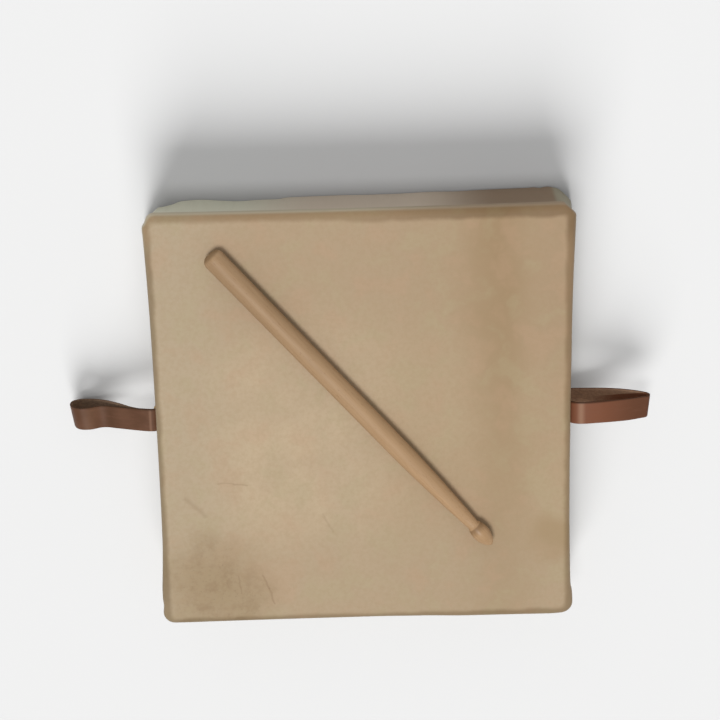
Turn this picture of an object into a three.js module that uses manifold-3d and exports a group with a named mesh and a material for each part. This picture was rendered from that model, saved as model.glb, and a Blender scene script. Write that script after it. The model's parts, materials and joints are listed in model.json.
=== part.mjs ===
// Square frame drum: a hide head over a wooden box frame, two leather strap handles and a drumstick.
// Millimetres, +Z up. The drum lies on its open back with the head up. The origin is on the ground,
// under the middle of the head. +Y is the far side, +X the right-hand side.
import * as THREE from "three";
import { mergeVertices } from "three/addons/utils/BufferGeometryUtils.js";
import Module from "manifold-3d";

const wasm = await Module();
wasm.setup();

// Whole drum
const drumWidth = 350; // over the corners of the lip, along X
const drumLength = 356; // over the corners of the lip, along Y
const drumDepth = 60; // ground to the playing face
const fitGap = 0.3; // between pieces that rest on each other

// Hide head
const hideThickness = 1.6;
const lipCornerRadius = 10;
const lipEdgeRadius = 5.5; // where the playing face turns down
const lipDepth = 11; // playing face to the lower edge of the straight flank
const lipUndercut = 3.5; // height in which the lip runs back to the wall
const waistDepth = 3.2; // how far the wall stands back from the lip
const cornerSwellX = 3.2; // gathered hide at the corners, beyond the middle of a side
const cornerSwellY = 0.8;
const hemFlare = 2.6; // folded hide at the rear, beyond the waist
const hemEdgeRadius = 5; // where the wall turns under
const hemHeight = 16; // hide turned up inside the frame
const hemCornerRadius = 2;
const swellPower = 3;
const undercutShares = [[0.14, 0.4], [0.62, 0.8]]; // of the waist's depth and the undercut's height
const wallShares = [1, 0.82, 0.64, 0.46, 0.28, 0.14]; // of the waist's height above the ground
const hemTurnShares = [[0.12, 0.55], [0.45, 0.18], [1, 0]]; // of the hem's edge radius

// Wooden frame
const boardThickness = 12;
const frameCornerRadius = 6; // outer upright corners, eased so that they don't cut the hide
const sharpRadius = 0.5; // hide that follows a square corner
const stripThickness = 4;
const stripHeight = 9.6;
const stripEdgeRadius = 3;
const stripCornerRadius = 7;
const mitreReach = 12; // how far the mitre cut runs in from the strip's face
const blockLeg = 26; // leg of the three-cornered glue block
const blockRearSetback = 18; // ground to the block
const blockFaceSetback = 4; // playing face to the block

// Corner screws
const screwLength = 34;
const screwShankRadius = 1.75;
const screwHeadRadius = 3.5;
const screwHeadDepth = 2.4;
const screwPointLength = 4;
const screwSink = 1.2; // head below the wood's face, clear of the eased corner
const screwHeightShares = [0.27, 0.73]; // of the drum's depth

// Hem tacks
const hemTacksPerSide = 5;
const hemTackEndSetback = 34; // from the hem's corner to the last tack of a side
const hemTackHeight = 9; // above the ground
const hemTackHeadRadius = 4;
const hemTackHeadHeight = 1.8;
const tackShankRadius = 0.9;
const tackDomeShares = [[0, 1], [0.62, 0.8], [1, 0]]; // of the head's radius and height
const tackPointLength = 2;
const tackBite = 8; // how far a tack goes into the wood

// Strap handles
const strapWidth = 18.8;
const strapThickness = 1.8;
const strapShift = -1.5; // middle of the strap from the middle of the side, along Y
const strapTackHeadRadius = 3.6;
const strapTackHeadHeight = 2;
const strapTackSpacing = 10;
const strapStep = 2.4; // between sections along a strap
const crowdedShare = 0.34; // of the step, nearer than which a section is left out

// Left strap: height shares are of the wall, from the ground to the waist under the lip
const leftReach = 73.7; // the outermost leather, beyond the lip
const leftRootRun = 6; // from the foot to where the strap runs level
const leftLevelRun = 4.9; // from there to where the swinging part begins
const leftCutGap = 0.9;
const leftFootBottomShare = 0.374;
const leftTackShare = 0.505;
const leftFootTopShare = 0.66;
const leftRootShare = 0.822; // where the strap leaves the wall
const leftShoulderShares = [[0.12, 0.49], [0.43, 0.84], [1, 1]]; // of the root's run and rise
const leftStartShares = [[0.072, 0.976], [0.215, 0.882]]; // of the run to the eye, and the root's height
const leftUpperShares = [
  [0.44, 0.72],
  [0.63, 0.61],
  [0.81, 0.754],
  [0.92, 0.717],
  [0.981, 0.56],
  [1, 0.374],
];
const leftLowerShares = [
  [0.98, 0.214],
  [0.915, 0.139],
  [0.842, 0.128],
  [0.669, 0.251],
  [0.546, 0.417],
  [0.42, 0.583],
];

// Right strap
const rightReach = 68.7; // the outermost leather, beyond the lip
const rightCutReach = 10.2; // where the swinging part begins, beyond the lip
const rightLowestShare = 0.233; // middle of the leather under the lower shoulder
const rightLowerTackShare = 0.44;
const rightLowerFootTopShare = 0.56;
const rightUpperFootBottomShare = 0.615;
const rightCreaseShare = 0.73;
const rightUpperTackShare = 0.747;
const rightHighestShare = 1.095; // middle of the leather over the upper shoulder
const rightFootShare = 0.209; // the stretch of a foot that lies flat on the wall
const rightUpperShares = [
  [0.012, 0.57],
  [0.048, 0.8],
  [0.103, 0.95],
  [0.175, 1],
  [0.36, 0.92],
  [0.535, 0.73],
  [0.755, 0.44],
  [0.914, 0.225],
  [0.985, 0.11],
  [1, 0],
]; // of the run to the crease, and the height over the crease
const rightLowerShares = [
  [0.022, 0.885],
  [0.054, 0.973],
  [0.107, 1],
  [0.188, 0.973],
  [0.36, 0.85],
  [0.535, 0.67],
  [0.755, 0.41],
  [0.928, 0.186],
  [0.985, 0.097],
  [1, 0],
]; // of the run to the crease, and the depth under the crease

// Drumstick
const stickLength = 338;
const stickRadius = 9;
const stickButtRadius = 2.4; // rounding of the butt
const stickTaperStart = 214; // from the butt
const stickNeckAt = 312;
const stickNeckRadius = 4.9;
const stickBeadRadius = 7.2;
const stickBeadWidest = 322;
const stickMiddleX = -6.1;
const stickMiddleY = 17.4;
const stickDegrees = -48.65; // butt to bead, from +X
const stickTaperShares = [0, 0.4, 0.75, 1]; // of the taper's length
const stickTaperPower = 1.25;
const stickNeckShares = [[0.35, 0.22], [0.72, 0.55], [0.94, 0.82], [1, 1]]; // to the widest of the bead
const stickTipShares = [[0.95, 0.25], [0.8, 0.5], [0.54, 0.75], [0.27, 0.92], [0, 1]];

// Facets
const arcSteps = 5;
const sideSteps = 6;
const edgeSteps = 4; // round the lip's edge
const innerEdgeSteps = 3;
const buttSteps = 3;
const holeSides = 8;
const tackSides = 8;
const screwSides = 10;
const stickSides = 24;
const overrun = 1; // how far a cutter passes a face

// Sizes that follow
const lipHalfX = drumWidth / 2 - cornerSwellX; // lip at the middle of a side
const lipHalfY = drumLength / 2 - cornerSwellY;
const hideReach = hideThickness + fitGap; // wood to the outside of the hide on it
const stripHalfX = lipHalfX - hideReach;
const stripHalfY = lipHalfY - hideReach;
const boardHalfX = stripHalfX - stripThickness - fitGap;
const boardHalfY = stripHalfY - stripThickness - fitGap;
const boardInnerX = boardHalfX - boardThickness;
const boardInnerY = boardHalfY - boardThickness;
const boardRear = hideReach;
const boardFace = drumDepth - hideReach;
const boardHeight = boardFace - boardRear;
const boardMidZ = (boardFace + boardRear) / 2;
const stripRear = boardFace - stripHeight;
const hemHalfX = boardInnerX - hideReach;
const hemHalfY = boardInnerY - hideReach;
const waistZ = drumDepth - lipDepth - lipUndercut;
const layerPitch = strapThickness + fitGap;
const footReach = fitGap + strapThickness / 2; // wall to the middle of a strap on it
const leftTackHeight = leftTackShare * waistZ;
const rightUpperTackHeight = rightUpperTackShare * waistZ;
const rightLowerTackHeight = rightLowerTackShare * waistZ;

// Outside of the hide's wall at a height, at the middle of a side, as a step back from the lip
function wallSetback(z) {
  const below = Math.max(0, (waistZ - z) / waistZ);
  return waistDepth - hemFlare * below * below;
}

const wallX = (z) => lipHalfX - wallSetback(z);

// Geometry and solids

function solidOf(geometry) {
  const bare = geometry.index ? geometry.toNonIndexed() : geometry.clone();
  bare.deleteAttribute("normal");
  bare.deleteAttribute("uv");
  const merged = mergeVertices(bare);
  return new wasm.Manifold(
    new wasm.Mesh({
      numProp: 3,
      vertProperties: merged.attributes.position.array,
      triVerts: new Uint32Array(merged.index.array),
    }),
  );
}

function geometryOf(solid) {
  const mesh = solid.getMesh();
  const geometry = new THREE.BufferGeometry();
  geometry.setAttribute("position", new THREE.BufferAttribute(mesh.vertProperties, 3));
  geometry.setIndex(new THREE.BufferAttribute(mesh.triVerts, 1));
  const flat = geometry.toNonIndexed();
  flat.computeVertexNormals();
  return flat;
}

// A closed outline: a rectangle with round corners whose sides swell towards the corners
function outline(halfX, halfY, radius, z, swellX = 0, swellY = 0) {
  const endX = halfX + swellX - radius;
  const endY = halfY + swellY - radius;
  const points = [];
  for (let quarter = 0; quarter < 4; quarter += 1) {
    const turn = (quarter * Math.PI) / 2;
    const upright = quarter % 2 === 0; // a side that runs along Y
    const sideEnd = upright ? endY : endX;
    const reach = upright ? halfX : halfY;
    const swell = upright ? swellX : swellY;
    for (let i = 0; i < sideSteps; i += 1) {
      const along = sideEnd * ((2 * i) / sideSteps - 1);
      const out = reach + swell * Math.abs(along / sideEnd) ** swellPower;
      points.push(new THREE.Vector2(out, along).rotateAround(new THREE.Vector2(), turn));
    }
    const cornerX = upright ? endX : endY;
    const cornerY = upright ? endY : endX;
    for (let i = 0; i < arcSteps; i += 1) {
      const angle = ((Math.PI / 2) * i) / arcSteps;
      const corner = new THREE.Vector2(cornerX, cornerY);
      corner.add(new THREE.Vector2(radius * Math.cos(angle), radius * Math.sin(angle)));
      points.push(corner.rotateAround(new THREE.Vector2(), turn));
    }
  }
  return points.map((p) => new THREE.Vector3(p.x, p.y, z));
}

// Skin over a row of loops. An open row gets a flat cap at each end, a ring closes on itself.
function loft(loops, ring = false) {
  const count = loops[0].length;
  const vertices = loops.flat();
  const faces = [];
  const rows = ring ? loops.length : loops.length - 1;
  for (let row = 0; row < rows; row += 1) {
    const next = (row + 1) % loops.length;
    for (let i = 0; i < count; i += 1) {
      const j = (i + 1) % count;
      faces.push(row * count + i, next * count + i, next * count + j);
      faces.push(row * count + i, next * count + j, row * count + j);
    }
  }
  if (!ring) {
    const last = (loops.length - 1) * count;
    const middle = (loop) => loop.reduce((sum, p) => sum.add(p), new THREE.Vector3()).divideScalar(count);
    vertices.push(middle(loops[0]), middle(loops[loops.length - 1]));
    for (let i = 0; i < count; i += 1) {
      const j = (i + 1) % count;
      faces.push(vertices.length - 2, i, j);
      faces.push(vertices.length - 1, last + j, last + i);
    }
  }
  const geometry = new THREE.BufferGeometry().setFromPoints(vertices);
  geometry.setIndex(faces);
  return geometry;
}

// A round bar from one point to another
function bar(from, to, radius, sides) {
  const along = new THREE.Vector3().subVectors(to, from);
  const geometry = new THREE.CylinderGeometry(radius, radius, along.length(), sides);
  const turn = new THREE.Quaternion();
  turn.setFromUnitVectors(new THREE.Vector3(0, 1, 0), along.clone().normalize());
  geometry.applyQuaternion(turn);
  const middle = new THREE.Vector3().addVectors(from, to).multiplyScalar(1 / 2);
  return geometry.translate(middle.x, middle.y, middle.z);
}

function drilled(geometry, fasteners) {
  let solid = solidOf(geometry);
  for (const fastener of fasteners) {
    for (const hole of fastener.holes) solid = solid.subtract(hole);
  }
  return geometryOf(solid);
}

function turned(profile, sides) {
  return new THREE.LatheGeometry(
    profile.map(([radius, height]) => new THREE.Vector2(radius, height)),
    sides,
  );
}

// A piece turned about +Y, set down so that +Y points along a direction from a place
function placed(geometry, place, direction) {
  const turn = new THREE.Quaternion();
  turn.setFromUnitVectors(new THREE.Vector3(0, 1, 0), direction);
  return geometry.clone().applyQuaternion(turn).translate(place.x, place.y, place.z);
}

// Fasteners: each has its shape and the holes that it needs

// A tack whose head's flat underside is at place and whose shank runs along direction
function tack(name, place, direction, shankLength, headRadius, headHeight) {
  const head = tackDomeShares.map(([out, up]) => [out * headRadius, -up * headHeight]);
  const shank = [
    [tackShankRadius, 0],
    [tackShankRadius, shankLength - tackPointLength],
    [0, shankLength],
  ];
  const from = place.clone().addScaledVector(direction, -fitGap / 2);
  const to = place.clone().addScaledVector(direction, shankLength + fitGap);
  return {
    name,
    geometry: placed(turned([...head, ...shank], tackSides), place, direction),
    holes: [solidOf(bar(from, to, tackShankRadius + fitGap, holeSides))],
  };
}

// A countersunk screw whose head is flush at place, at the bottom of a shallow bore
function screw(name, place, direction) {
  const profile = [
    [0, 0],
    [screwHeadRadius, 0],
    [screwShankRadius, screwHeadDepth],
    [screwShankRadius, screwLength - screwPointLength],
    [0, screwLength],
  ];
  const mouth = -screwSink - overrun;
  const sink = [
    [0, mouth],
    [screwHeadRadius + fitGap, mouth],
    [screwHeadRadius + fitGap, 0],
    [screwShankRadius + fitGap, screwHeadDepth + fitGap],
    [screwShankRadius + fitGap, screwLength + fitGap],
    [0, screwLength + fitGap],
  ];
  return {
    name,
    geometry: placed(turned(profile, screwSides), place, direction),
    holes: [solidOf(placed(turned(sink, screwSides), place, direction))],
  };
}

const sides = [
  { name: "right", out: new THREE.Vector3(1, 0, 0), along: new THREE.Vector3(0, 1, 0) },
  { name: "far", out: new THREE.Vector3(0, 1, 0), along: new THREE.Vector3(-1, 0, 0) },
  { name: "left", out: new THREE.Vector3(-1, 0, 0), along: new THREE.Vector3(0, -1, 0) },
  { name: "near", out: new THREE.Vector3(0, -1, 0), along: new THREE.Vector3(1, 0, 0) },
];

const onX = (side) => side.out.x !== 0;

function hemTacks() {
  const tacks = [];
  for (const side of sides) {
    const reach = (onX(side) ? hemHalfX : hemHalfY) - fitGap;
    const lastAlong = (onX(side) ? hemHalfY : hemHalfX) - hemTackEndSetback;
    for (let i = 0; i < hemTacksPerSide; i += 1) {
      const along = lastAlong * ((2 * i) / (hemTacksPerSide - 1) - 1);
      const place = side.out.clone().multiplyScalar(reach).addScaledVector(side.along, along);
      place.z = hemTackHeight;
      const length = hideReach + fitGap + tackBite;
      const name = `hem_tack_${side.name}_${i + 1}`;
      tacks.push(tack(name, place, side.out, length, hemTackHeadRadius, hemTackHeadHeight));
    }
  }
  return tacks;
}

function cornerScrews() {
  const screws = [];
  for (const [far, signY] of [["far", 1], ["near", -1]]) {
    for (const [left, signX] of [["left", -1], ["right", 1]]) {
      screwHeightShares.forEach((share, i) => {
        const x = signX * (boardHalfX - boardThickness / 2);
        const place = new THREE.Vector3(x, signY * (boardHalfY - screwSink), share * drumDepth);
        const name = `corner_screw_${far}_${left}_${i === 0 ? "lower" : "upper"}`;
        screws.push(screw(name, place, new THREE.Vector3(0, -signY, 0)));
      });
    }
  }
  return screws;
}

// Two tacks side by side, through the strap, the hide and into the board
function strapTacks(name, signX, height, layers) {
  return [1, -1].map((side, i) => {
    const strapOut = wallX(height) + footReach + strapThickness / 2 + (layers - 1) * layerPitch;
    const y = strapShift + (side * strapTackSpacing) / 2;
    const place = new THREE.Vector3(signX * (strapOut + fitGap), y, height);
    const length = strapOut + fitGap - boardHalfX + tackBite;
    const inwards = new THREE.Vector3(-signX, 0, 0);
    return tack(`${name}_${i + 1}`, place, inwards, length, strapTackHeadRadius, strapTackHeadHeight);
  });
}

// Hide head: playing face, lip, wall and the hem that is turned up inside the frame

function hideHead(fasteners) {
  const outer = (setback, z) =>
    outline(lipHalfX - setback, lipHalfY - setback, lipCornerRadius, z, cornerSwellX, cornerSwellY);
  const loops = [];
  for (let i = 0; i <= edgeSteps; i += 1) {
    const angle = ((Math.PI / 2) * i) / edgeSteps;
    const setback = lipEdgeRadius * (1 - Math.sin(angle));
    loops.push(outer(setback, drumDepth - lipEdgeRadius * (1 - Math.cos(angle))));
  }
  loops.push(outer(0, drumDepth - lipDepth));
  for (const [back, down] of undercutShares) {
    loops.push(outer(back * waistDepth, drumDepth - lipDepth - down * lipUndercut));
  }
  for (const share of wallShares) loops.push(outer(wallSetback(share * waistZ), share * waistZ));
  const hemSetback = wallSetback(0);
  for (const [back, up] of hemTurnShares) {
    loops.push(outer(hemSetback + back * hemEdgeRadius, up * hemEdgeRadius));
  }
  const inner = (x, y, radius, z) => loops.push(outline(x, y, radius, z));
  inner(hemHalfX, hemHalfY, hemCornerRadius, 0);
  inner(hemHalfX, hemHalfY, hemCornerRadius, hemHeight);
  inner(hemHalfX + hideThickness, hemHalfY + hideThickness, sharpRadius, hemHeight);
  inner(hemHalfX + hideThickness, hemHalfY + hideThickness, sharpRadius, hideThickness);
  inner(boardHalfX + fitGap, boardHalfY + fitGap, frameCornerRadius + fitGap, hideThickness);
  inner(boardHalfX + fitGap, boardHalfY + fitGap, frameCornerRadius + fitGap, stripRear - fitGap);
  inner(stripHalfX + fitGap, stripHalfY + fitGap, stripCornerRadius + fitGap, stripRear - fitGap);
  const innerRadius = stripEdgeRadius + fitGap;
  for (let i = 0; i <= innerEdgeSteps; i += 1) {
    const angle = ((Math.PI / 2) * i) / innerEdgeSteps;
    const setback = innerRadius * (1 - Math.cos(angle));
    const z = boardFace + fitGap - innerRadius * (1 - Math.sin(angle));
    const radius = stripCornerRadius + fitGap - setback;
    inner(stripHalfX + fitGap - setback, stripHalfY + fitGap - setback, radius, z);
  }
  return drilled(loft(loops), fasteners);
}

// Wooden frame

// Everything inside the outer faces and the eased corners of the frame
function frameEnvelope() {
  const loop = (z) => outline(boardHalfX, boardHalfY, frameCornerRadius, z);
  return solidOf(loft([loop(boardFace + overrun), loop(boardRear - overrun)]));
}

function frameBoard(envelope, side, fasteners) {
  const isX = onX(side);
  const length = isX ? 2 * (boardInnerY - fitGap) : 2 * boardHalfX;
  const size = isX ? [boardThickness, length] : [length, boardThickness];
  const reach = (isX ? boardHalfX : boardHalfY) - boardThickness / 2;
  const board = new THREE.BoxGeometry(size[0], size[1], boardHeight);
  board.translate(side.out.x * reach, side.out.y * reach, boardMidZ);
  return drilled(geometryOf(solidOf(board).intersect(envelope)), fasteners);
}

// The ring of batten round the frame's front edge, which makes the lip under the hide
function lipRing() {
  const innerRadius = frameCornerRadius + fitGap;
  const inner = (z) => outline(boardHalfX + fitGap, boardHalfY + fitGap, innerRadius, z);
  const loops = [inner(stripRear), inner(boardFace)];
  for (let i = 0; i <= innerEdgeSteps; i += 1) {
    const angle = ((Math.PI / 2) * i) / innerEdgeSteps;
    const setback = stripEdgeRadius * (1 - Math.sin(angle));
    const z = boardFace - stripEdgeRadius * (1 - Math.cos(angle));
    loops.push(outline(stripHalfX - setback, stripHalfY - setback, stripCornerRadius - setback, z));
  }
  loops.push(outline(stripHalfX, stripHalfY, stripCornerRadius, stripRear));
  return solidOf(loft(loops, true));
}

function lipStrip(ring, side) {
  const reach = onX(side) ? stripHalfX : stripHalfY;
  const half = onX(side) ? stripHalfY : stripHalfX;
  const mitre = new THREE.Shape([
    new THREE.Vector2(reach + overrun, half + overrun - fitGap),
    new THREE.Vector2(reach - mitreReach, half - mitreReach - fitGap),
    new THREE.Vector2(reach - mitreReach, -(half - mitreReach - fitGap)),
    new THREE.Vector2(reach + overrun, -(half + overrun - fitGap)),
  ]);
  const wedge = new THREE.ExtrudeGeometry(mitre, { depth: stripHeight + 2 * overrun, bevelEnabled: false });
  wedge.translate(0, 0, stripRear - overrun);
  wedge.rotateZ(Math.atan2(side.out.y, side.out.x));
  return geometryOf(ring.intersect(solidOf(wedge)));
}

function cornerBlock(signX, signY) {
  const cornerX = signX * (boardInnerX - fitGap);
  const cornerY = signY * (boardInnerY - fitGap);
  const shape = new THREE.Shape([
    new THREE.Vector2(cornerX, cornerY),
    new THREE.Vector2(cornerX - signX * blockLeg, cornerY),
    new THREE.Vector2(cornerX, cornerY - signY * blockLeg),
  ]);
  const depth = drumDepth - blockFaceSetback - blockRearSetback;
  const block = new THREE.ExtrudeGeometry(shape, { depth, bevelEnabled: false });
  return block.translate(0, 0, blockRearSetback);
}

// Strap handles, drawn in the plane across the wall: x outwards from the drum, z up

function smoothPath(points) {
  const curve = new THREE.CatmullRomCurve3(
    points.map(([x, z]) => new THREE.Vector3(x, z, 0)),
    false,
    "centripetal",
  );
  const steps = Math.round(curve.getLength() / strapStep);
  return curve.getSpacedPoints(steps).map((p) => new THREE.Vector2(p.x, p.y));
}

// The same path, moved sideways to the left of its direction
function besidePath(path, distance) {
  return path.map((point, i) => {
    const before = path[Math.max(0, i - 1)];
    const after = path[Math.min(path.length - 1, i + 1)];
    const along = new THREE.Vector2().subVectors(after, before).normalize();
    return new THREE.Vector2(point.x - along.y * distance, point.y + along.x * distance);
  });
}

// The part of a path from its start to the place where it first passes an x, or from there on
function splitPath(path, x) {
  const at = path.findIndex((p) => p.x > x);
  const [a, b] = [path[at - 1], path[at]];
  const crossing = new THREE.Vector2().lerpVectors(a, b, (x - a.x) / (b.x - a.x));
  return { root: [...path.slice(0, at), crossing], rest: [crossing, ...path.slice(at)] };
}

// Leather of the strap's width along a path, on the right side (1) or the left side (-1)
function ribbon(path, signX) {
  const upper = besidePath(path, strapThickness / 2);
  const lower = besidePath(path, -strapThickness / 2).reverse();
  const shape = new THREE.Shape([...upper, ...lower].map((p) => new THREE.Vector2(signX * p.x, p.y)));
  const strip = new THREE.ExtrudeGeometry(shape, { depth: strapWidth, bevelEnabled: false });
  return strip.rotateX(Math.PI / 2).translate(0, strapShift + strapWidth / 2, 0);
}

// A path cleared of points that crowd a cut
function thinned(path) {
  const least = crowdedShare * strapStep;
  return path.filter((p, i) => i === 0 || i === path.length - 1 || p.distanceTo(path[i - 1]) > least);
}

// Left strap: both ends are tacked to the wall one on the other, and the middle opens to an eye
function leftStrap() {
  const footBottom = leftFootBottomShare * waistZ;
  const footTop = leftFootTopShare * waistZ;
  const root = leftRootShare * waistZ;
  const foot = wallX(footTop) + footReach;
  const level = foot + leftRootRun;
  const run = lipHalfX + leftReach - strapThickness / 2 - level;
  const leftCut = level + leftLevelRun;
  const rise = root - footTop;
  const shoulder = leftShoulderShares.map(([x, z]) => [foot + x * leftRootRun, footTop + z * rise]);
  const outwards = ([x, z]) => [level + x * run, z * root];
  const inner = smoothPath([
    [wallX(footBottom) + footReach, footBottom],
    [foot, footTop],
    ...shoulder,
    ...leftStartShares.map(outwards),
  ]);
  const upper = splitPath(inner, leftCut);
  const lower = splitPath(besidePath(inner, -layerPitch), leftCut);
  const upperRest = splitPath(upper.rest, leftCut + leftCutGap).rest;
  const lowerRest = splitPath(lower.rest, leftCut + leftCutGap).rest;
  const loop = smoothPath([
    ...upperRest.map((p) => [p.x, p.y]),
    ...leftUpperShares.map(outwards),
    ...leftLowerShares.map(outwards),
    ...lowerRest.map((p) => [p.x, p.y]).reverse(),
  ]);
  return { innerEnd: upper.root, outerEnd: lower.root, loop };
}

// Right strap: the ends are tacked one above the other, and the middle is folded to a sharp crease
function rightStrap() {
  const creaseX = lipHalfX + rightReach - strapThickness / 2;
  const rightCut = lipHalfX + rightCutReach;
  const arm = (footShare, direction, shares, farthestShare) => {
    const footEnd = footShare * waistZ;
    const straightEnd = footEnd + direction * rightFootShare * waistZ;
    const wall = wallX(footEnd) + footReach;
    const height = (share) => (rightCreaseShare + share * (farthestShare - rightCreaseShare)) * waistZ;
    return smoothPath([
      [wall, footEnd],
      [wallX(straightEnd) + footReach, straightEnd],
      ...shares.map(([x, z]) => [wall + x * (creaseX - wall), height(z)]),
    ]);
  };
  const above = splitPath(arm(rightUpperFootBottomShare, 1, rightUpperShares, rightHighestShare), rightCut);
  const below = splitPath(arm(rightLowerFootTopShare, -1, rightLowerShares, rightLowestShare), rightCut);
  const upperRest = splitPath(above.rest, rightCut + fitGap).rest;
  const lowerRest = splitPath(below.rest, rightCut + fitGap).rest;
  return {
    upperEnd: above.root,
    lowerEnd: below.root,
    loop: [...upperRest, ...lowerRest.reverse().slice(1)],
  };
}

// Drumstick: a straight shank, a long taper, a neck and a pointed bead

function drumstick() {
  const profile = [[0, 0]];
  for (let i = 0; i <= buttSteps; i += 1) {
    const angle = ((Math.PI / 2) * i) / buttSteps;
    profile.push([
      stickRadius - stickButtRadius * (1 - Math.sin(angle)),
      stickButtRadius * (1 - Math.cos(angle)),
    ]);
  }
  for (const share of stickTaperShares) {
    const radius = stickRadius + (stickNeckRadius - stickRadius) * share ** stickTaperPower;
    profile.push([radius, stickTaperStart + (stickNeckAt - stickTaperStart) * share]);
  }
  const rise = stickBeadRadius - stickNeckRadius;
  for (const [out, along] of stickNeckShares) {
    profile.push([stickNeckRadius + rise * out, stickNeckAt + (stickBeadWidest - stickNeckAt) * along]);
  }
  for (const [radiusShare, along] of stickTipShares) {
    const height = stickBeadWidest + (stickLength - stickBeadWidest) * along;
    profile.push([stickBeadRadius * radiusShare, height]);
  }
  return turned(profile, stickSides);
}

// Materials

const finish = (colour, roughness, metalness = 0) =>
  new THREE.MeshStandardMaterial({ color: colour, roughness, metalness });
const rawhide = finish(0xb8a382, 0.62);
const pine = finish(0xc8a878, 0.7);
const beech = finish(0xb8986f, 0.5);
const leather = finish(0x74492f, 0.5);
const steel = finish(0x8f8f8c, 0.4, 0.9);
const brass = finish(0x8a6a3a, 0.4, 0.9);

// Assembly

const drum = new THREE.Group();

function add(name, geometry, material) {
  const mesh = new THREE.Mesh(geometry, material);
  mesh.name = name;
  drum.add(mesh);
  return mesh;
}

const hem = hemTacks();
const screws = cornerScrews();
const leftTacks = strapTacks("left_strap_tack", -1, leftTackHeight, 2);
const upperTacks = strapTacks("right_strap_upper_tack", 1, rightUpperTackHeight, 1);
const lowerTacks = strapTacks("right_strap_lower_tack", 1, rightLowerTackHeight, 1);
const outsideTacks = [...leftTacks, ...upperTacks, ...lowerTacks];

add("hide_head", hideHead([...hem, ...outsideTacks]), rawhide);

const ring = lipRing();
const envelope = frameEnvelope();
const fasteners = [...hem, ...screws, ...outsideTacks];
for (const side of sides) {
  add(`frame_board_${side.name}`, frameBoard(envelope, side, fasteners), pine);
  add(`lip_strip_${side.name}`, lipStrip(ring, side), pine);
}
for (const [far, signY] of [["far", 1], ["near", -1]]) {
  for (const [left, signX] of [["left", -1], ["right", 1]]) {
    add(`corner_block_${far}_${left}`, cornerBlock(signX, signY), pine);
  }
}
for (const piece of screws) add(piece.name, piece.geometry, steel);
for (const piece of hem) add(piece.name, piece.geometry, steel);
for (const piece of outsideTacks) add(piece.name, piece.geometry, brass);

const left = leftStrap();
add("left_strap_inner_end", drilled(ribbon(thinned(left.innerEnd), -1), leftTacks), leather);
add("left_strap_outer_end", drilled(ribbon(thinned(left.outerEnd), -1), leftTacks), leather);
add("left_strap_loop", ribbon(thinned(left.loop), -1), leather);

const right = rightStrap();
add("right_strap_upper_end", drilled(ribbon(thinned(right.upperEnd), 1), upperTacks), leather);
add("right_strap_lower_end", drilled(ribbon(thinned(right.lowerEnd), 1), lowerTacks), leather);
add("right_strap_loop", ribbon(thinned(right.loop), 1), leather);

const stick = add("drumstick", drumstick().translate(0, -stickLength / 2, 0), beech);
stick.rotation.z = THREE.MathUtils.degToRad(stickDegrees) - Math.PI / 2;
stick.position.set(stickMiddleX, stickMiddleY, drumDepth + fitGap + stickRadius);

export default drum;
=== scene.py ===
import json
import math

import bmesh
import bpy
from mathutils import Matrix, Vector, noise

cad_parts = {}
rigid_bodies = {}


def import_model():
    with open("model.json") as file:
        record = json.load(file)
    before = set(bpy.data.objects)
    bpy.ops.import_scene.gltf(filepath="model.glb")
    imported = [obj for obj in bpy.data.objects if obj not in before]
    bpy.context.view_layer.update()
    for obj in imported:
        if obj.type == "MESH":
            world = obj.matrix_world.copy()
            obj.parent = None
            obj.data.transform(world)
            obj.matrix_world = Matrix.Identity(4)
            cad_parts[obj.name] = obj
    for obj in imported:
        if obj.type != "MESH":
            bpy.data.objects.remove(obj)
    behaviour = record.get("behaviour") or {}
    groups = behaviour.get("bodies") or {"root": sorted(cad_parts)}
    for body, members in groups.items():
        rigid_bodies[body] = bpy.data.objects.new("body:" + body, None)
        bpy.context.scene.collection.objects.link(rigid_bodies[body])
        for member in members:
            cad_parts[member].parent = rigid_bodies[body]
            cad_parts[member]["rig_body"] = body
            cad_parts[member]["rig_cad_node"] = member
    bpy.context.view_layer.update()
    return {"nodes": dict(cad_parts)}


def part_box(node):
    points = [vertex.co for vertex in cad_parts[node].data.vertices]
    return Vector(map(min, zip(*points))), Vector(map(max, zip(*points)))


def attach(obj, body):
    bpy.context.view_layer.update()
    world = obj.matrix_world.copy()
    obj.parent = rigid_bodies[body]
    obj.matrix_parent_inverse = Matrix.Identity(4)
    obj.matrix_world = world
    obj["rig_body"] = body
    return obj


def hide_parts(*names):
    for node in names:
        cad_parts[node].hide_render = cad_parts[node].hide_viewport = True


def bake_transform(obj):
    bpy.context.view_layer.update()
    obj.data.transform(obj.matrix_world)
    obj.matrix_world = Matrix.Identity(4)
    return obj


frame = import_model()
bpy.ops.object.select_all(action="DESELECT")

MM = 0.001
ORIGIN = (0, 0, 0)
QUARTER_TURN = math.pi / 2

# Sizes from the frame

hide_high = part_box("hide_head")[1]
board_right_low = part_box("frame_board_right")[0]
board_far_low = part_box("frame_board_far")[0]
stick_low, stick_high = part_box("drumstick")
left_foot_low, left_foot_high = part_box("left_strap_inner_end")

DRUM_DEPTH = hide_high.z
CORNER_SWELL_X = 3.2 * MM  # gathered hide at the lip's corners
CORNER_SWELL_Y = 0.8 * MM
SWELL_POWER = 3
LIP_HALF_X = hide_high.x - CORNER_SWELL_X
LIP_HALF_Y = hide_high.y - CORNER_SWELL_Y
BOARD_INNER_X = board_right_low.x
BOARD_INNER_Y = board_far_low.y

# Hide head

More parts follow.
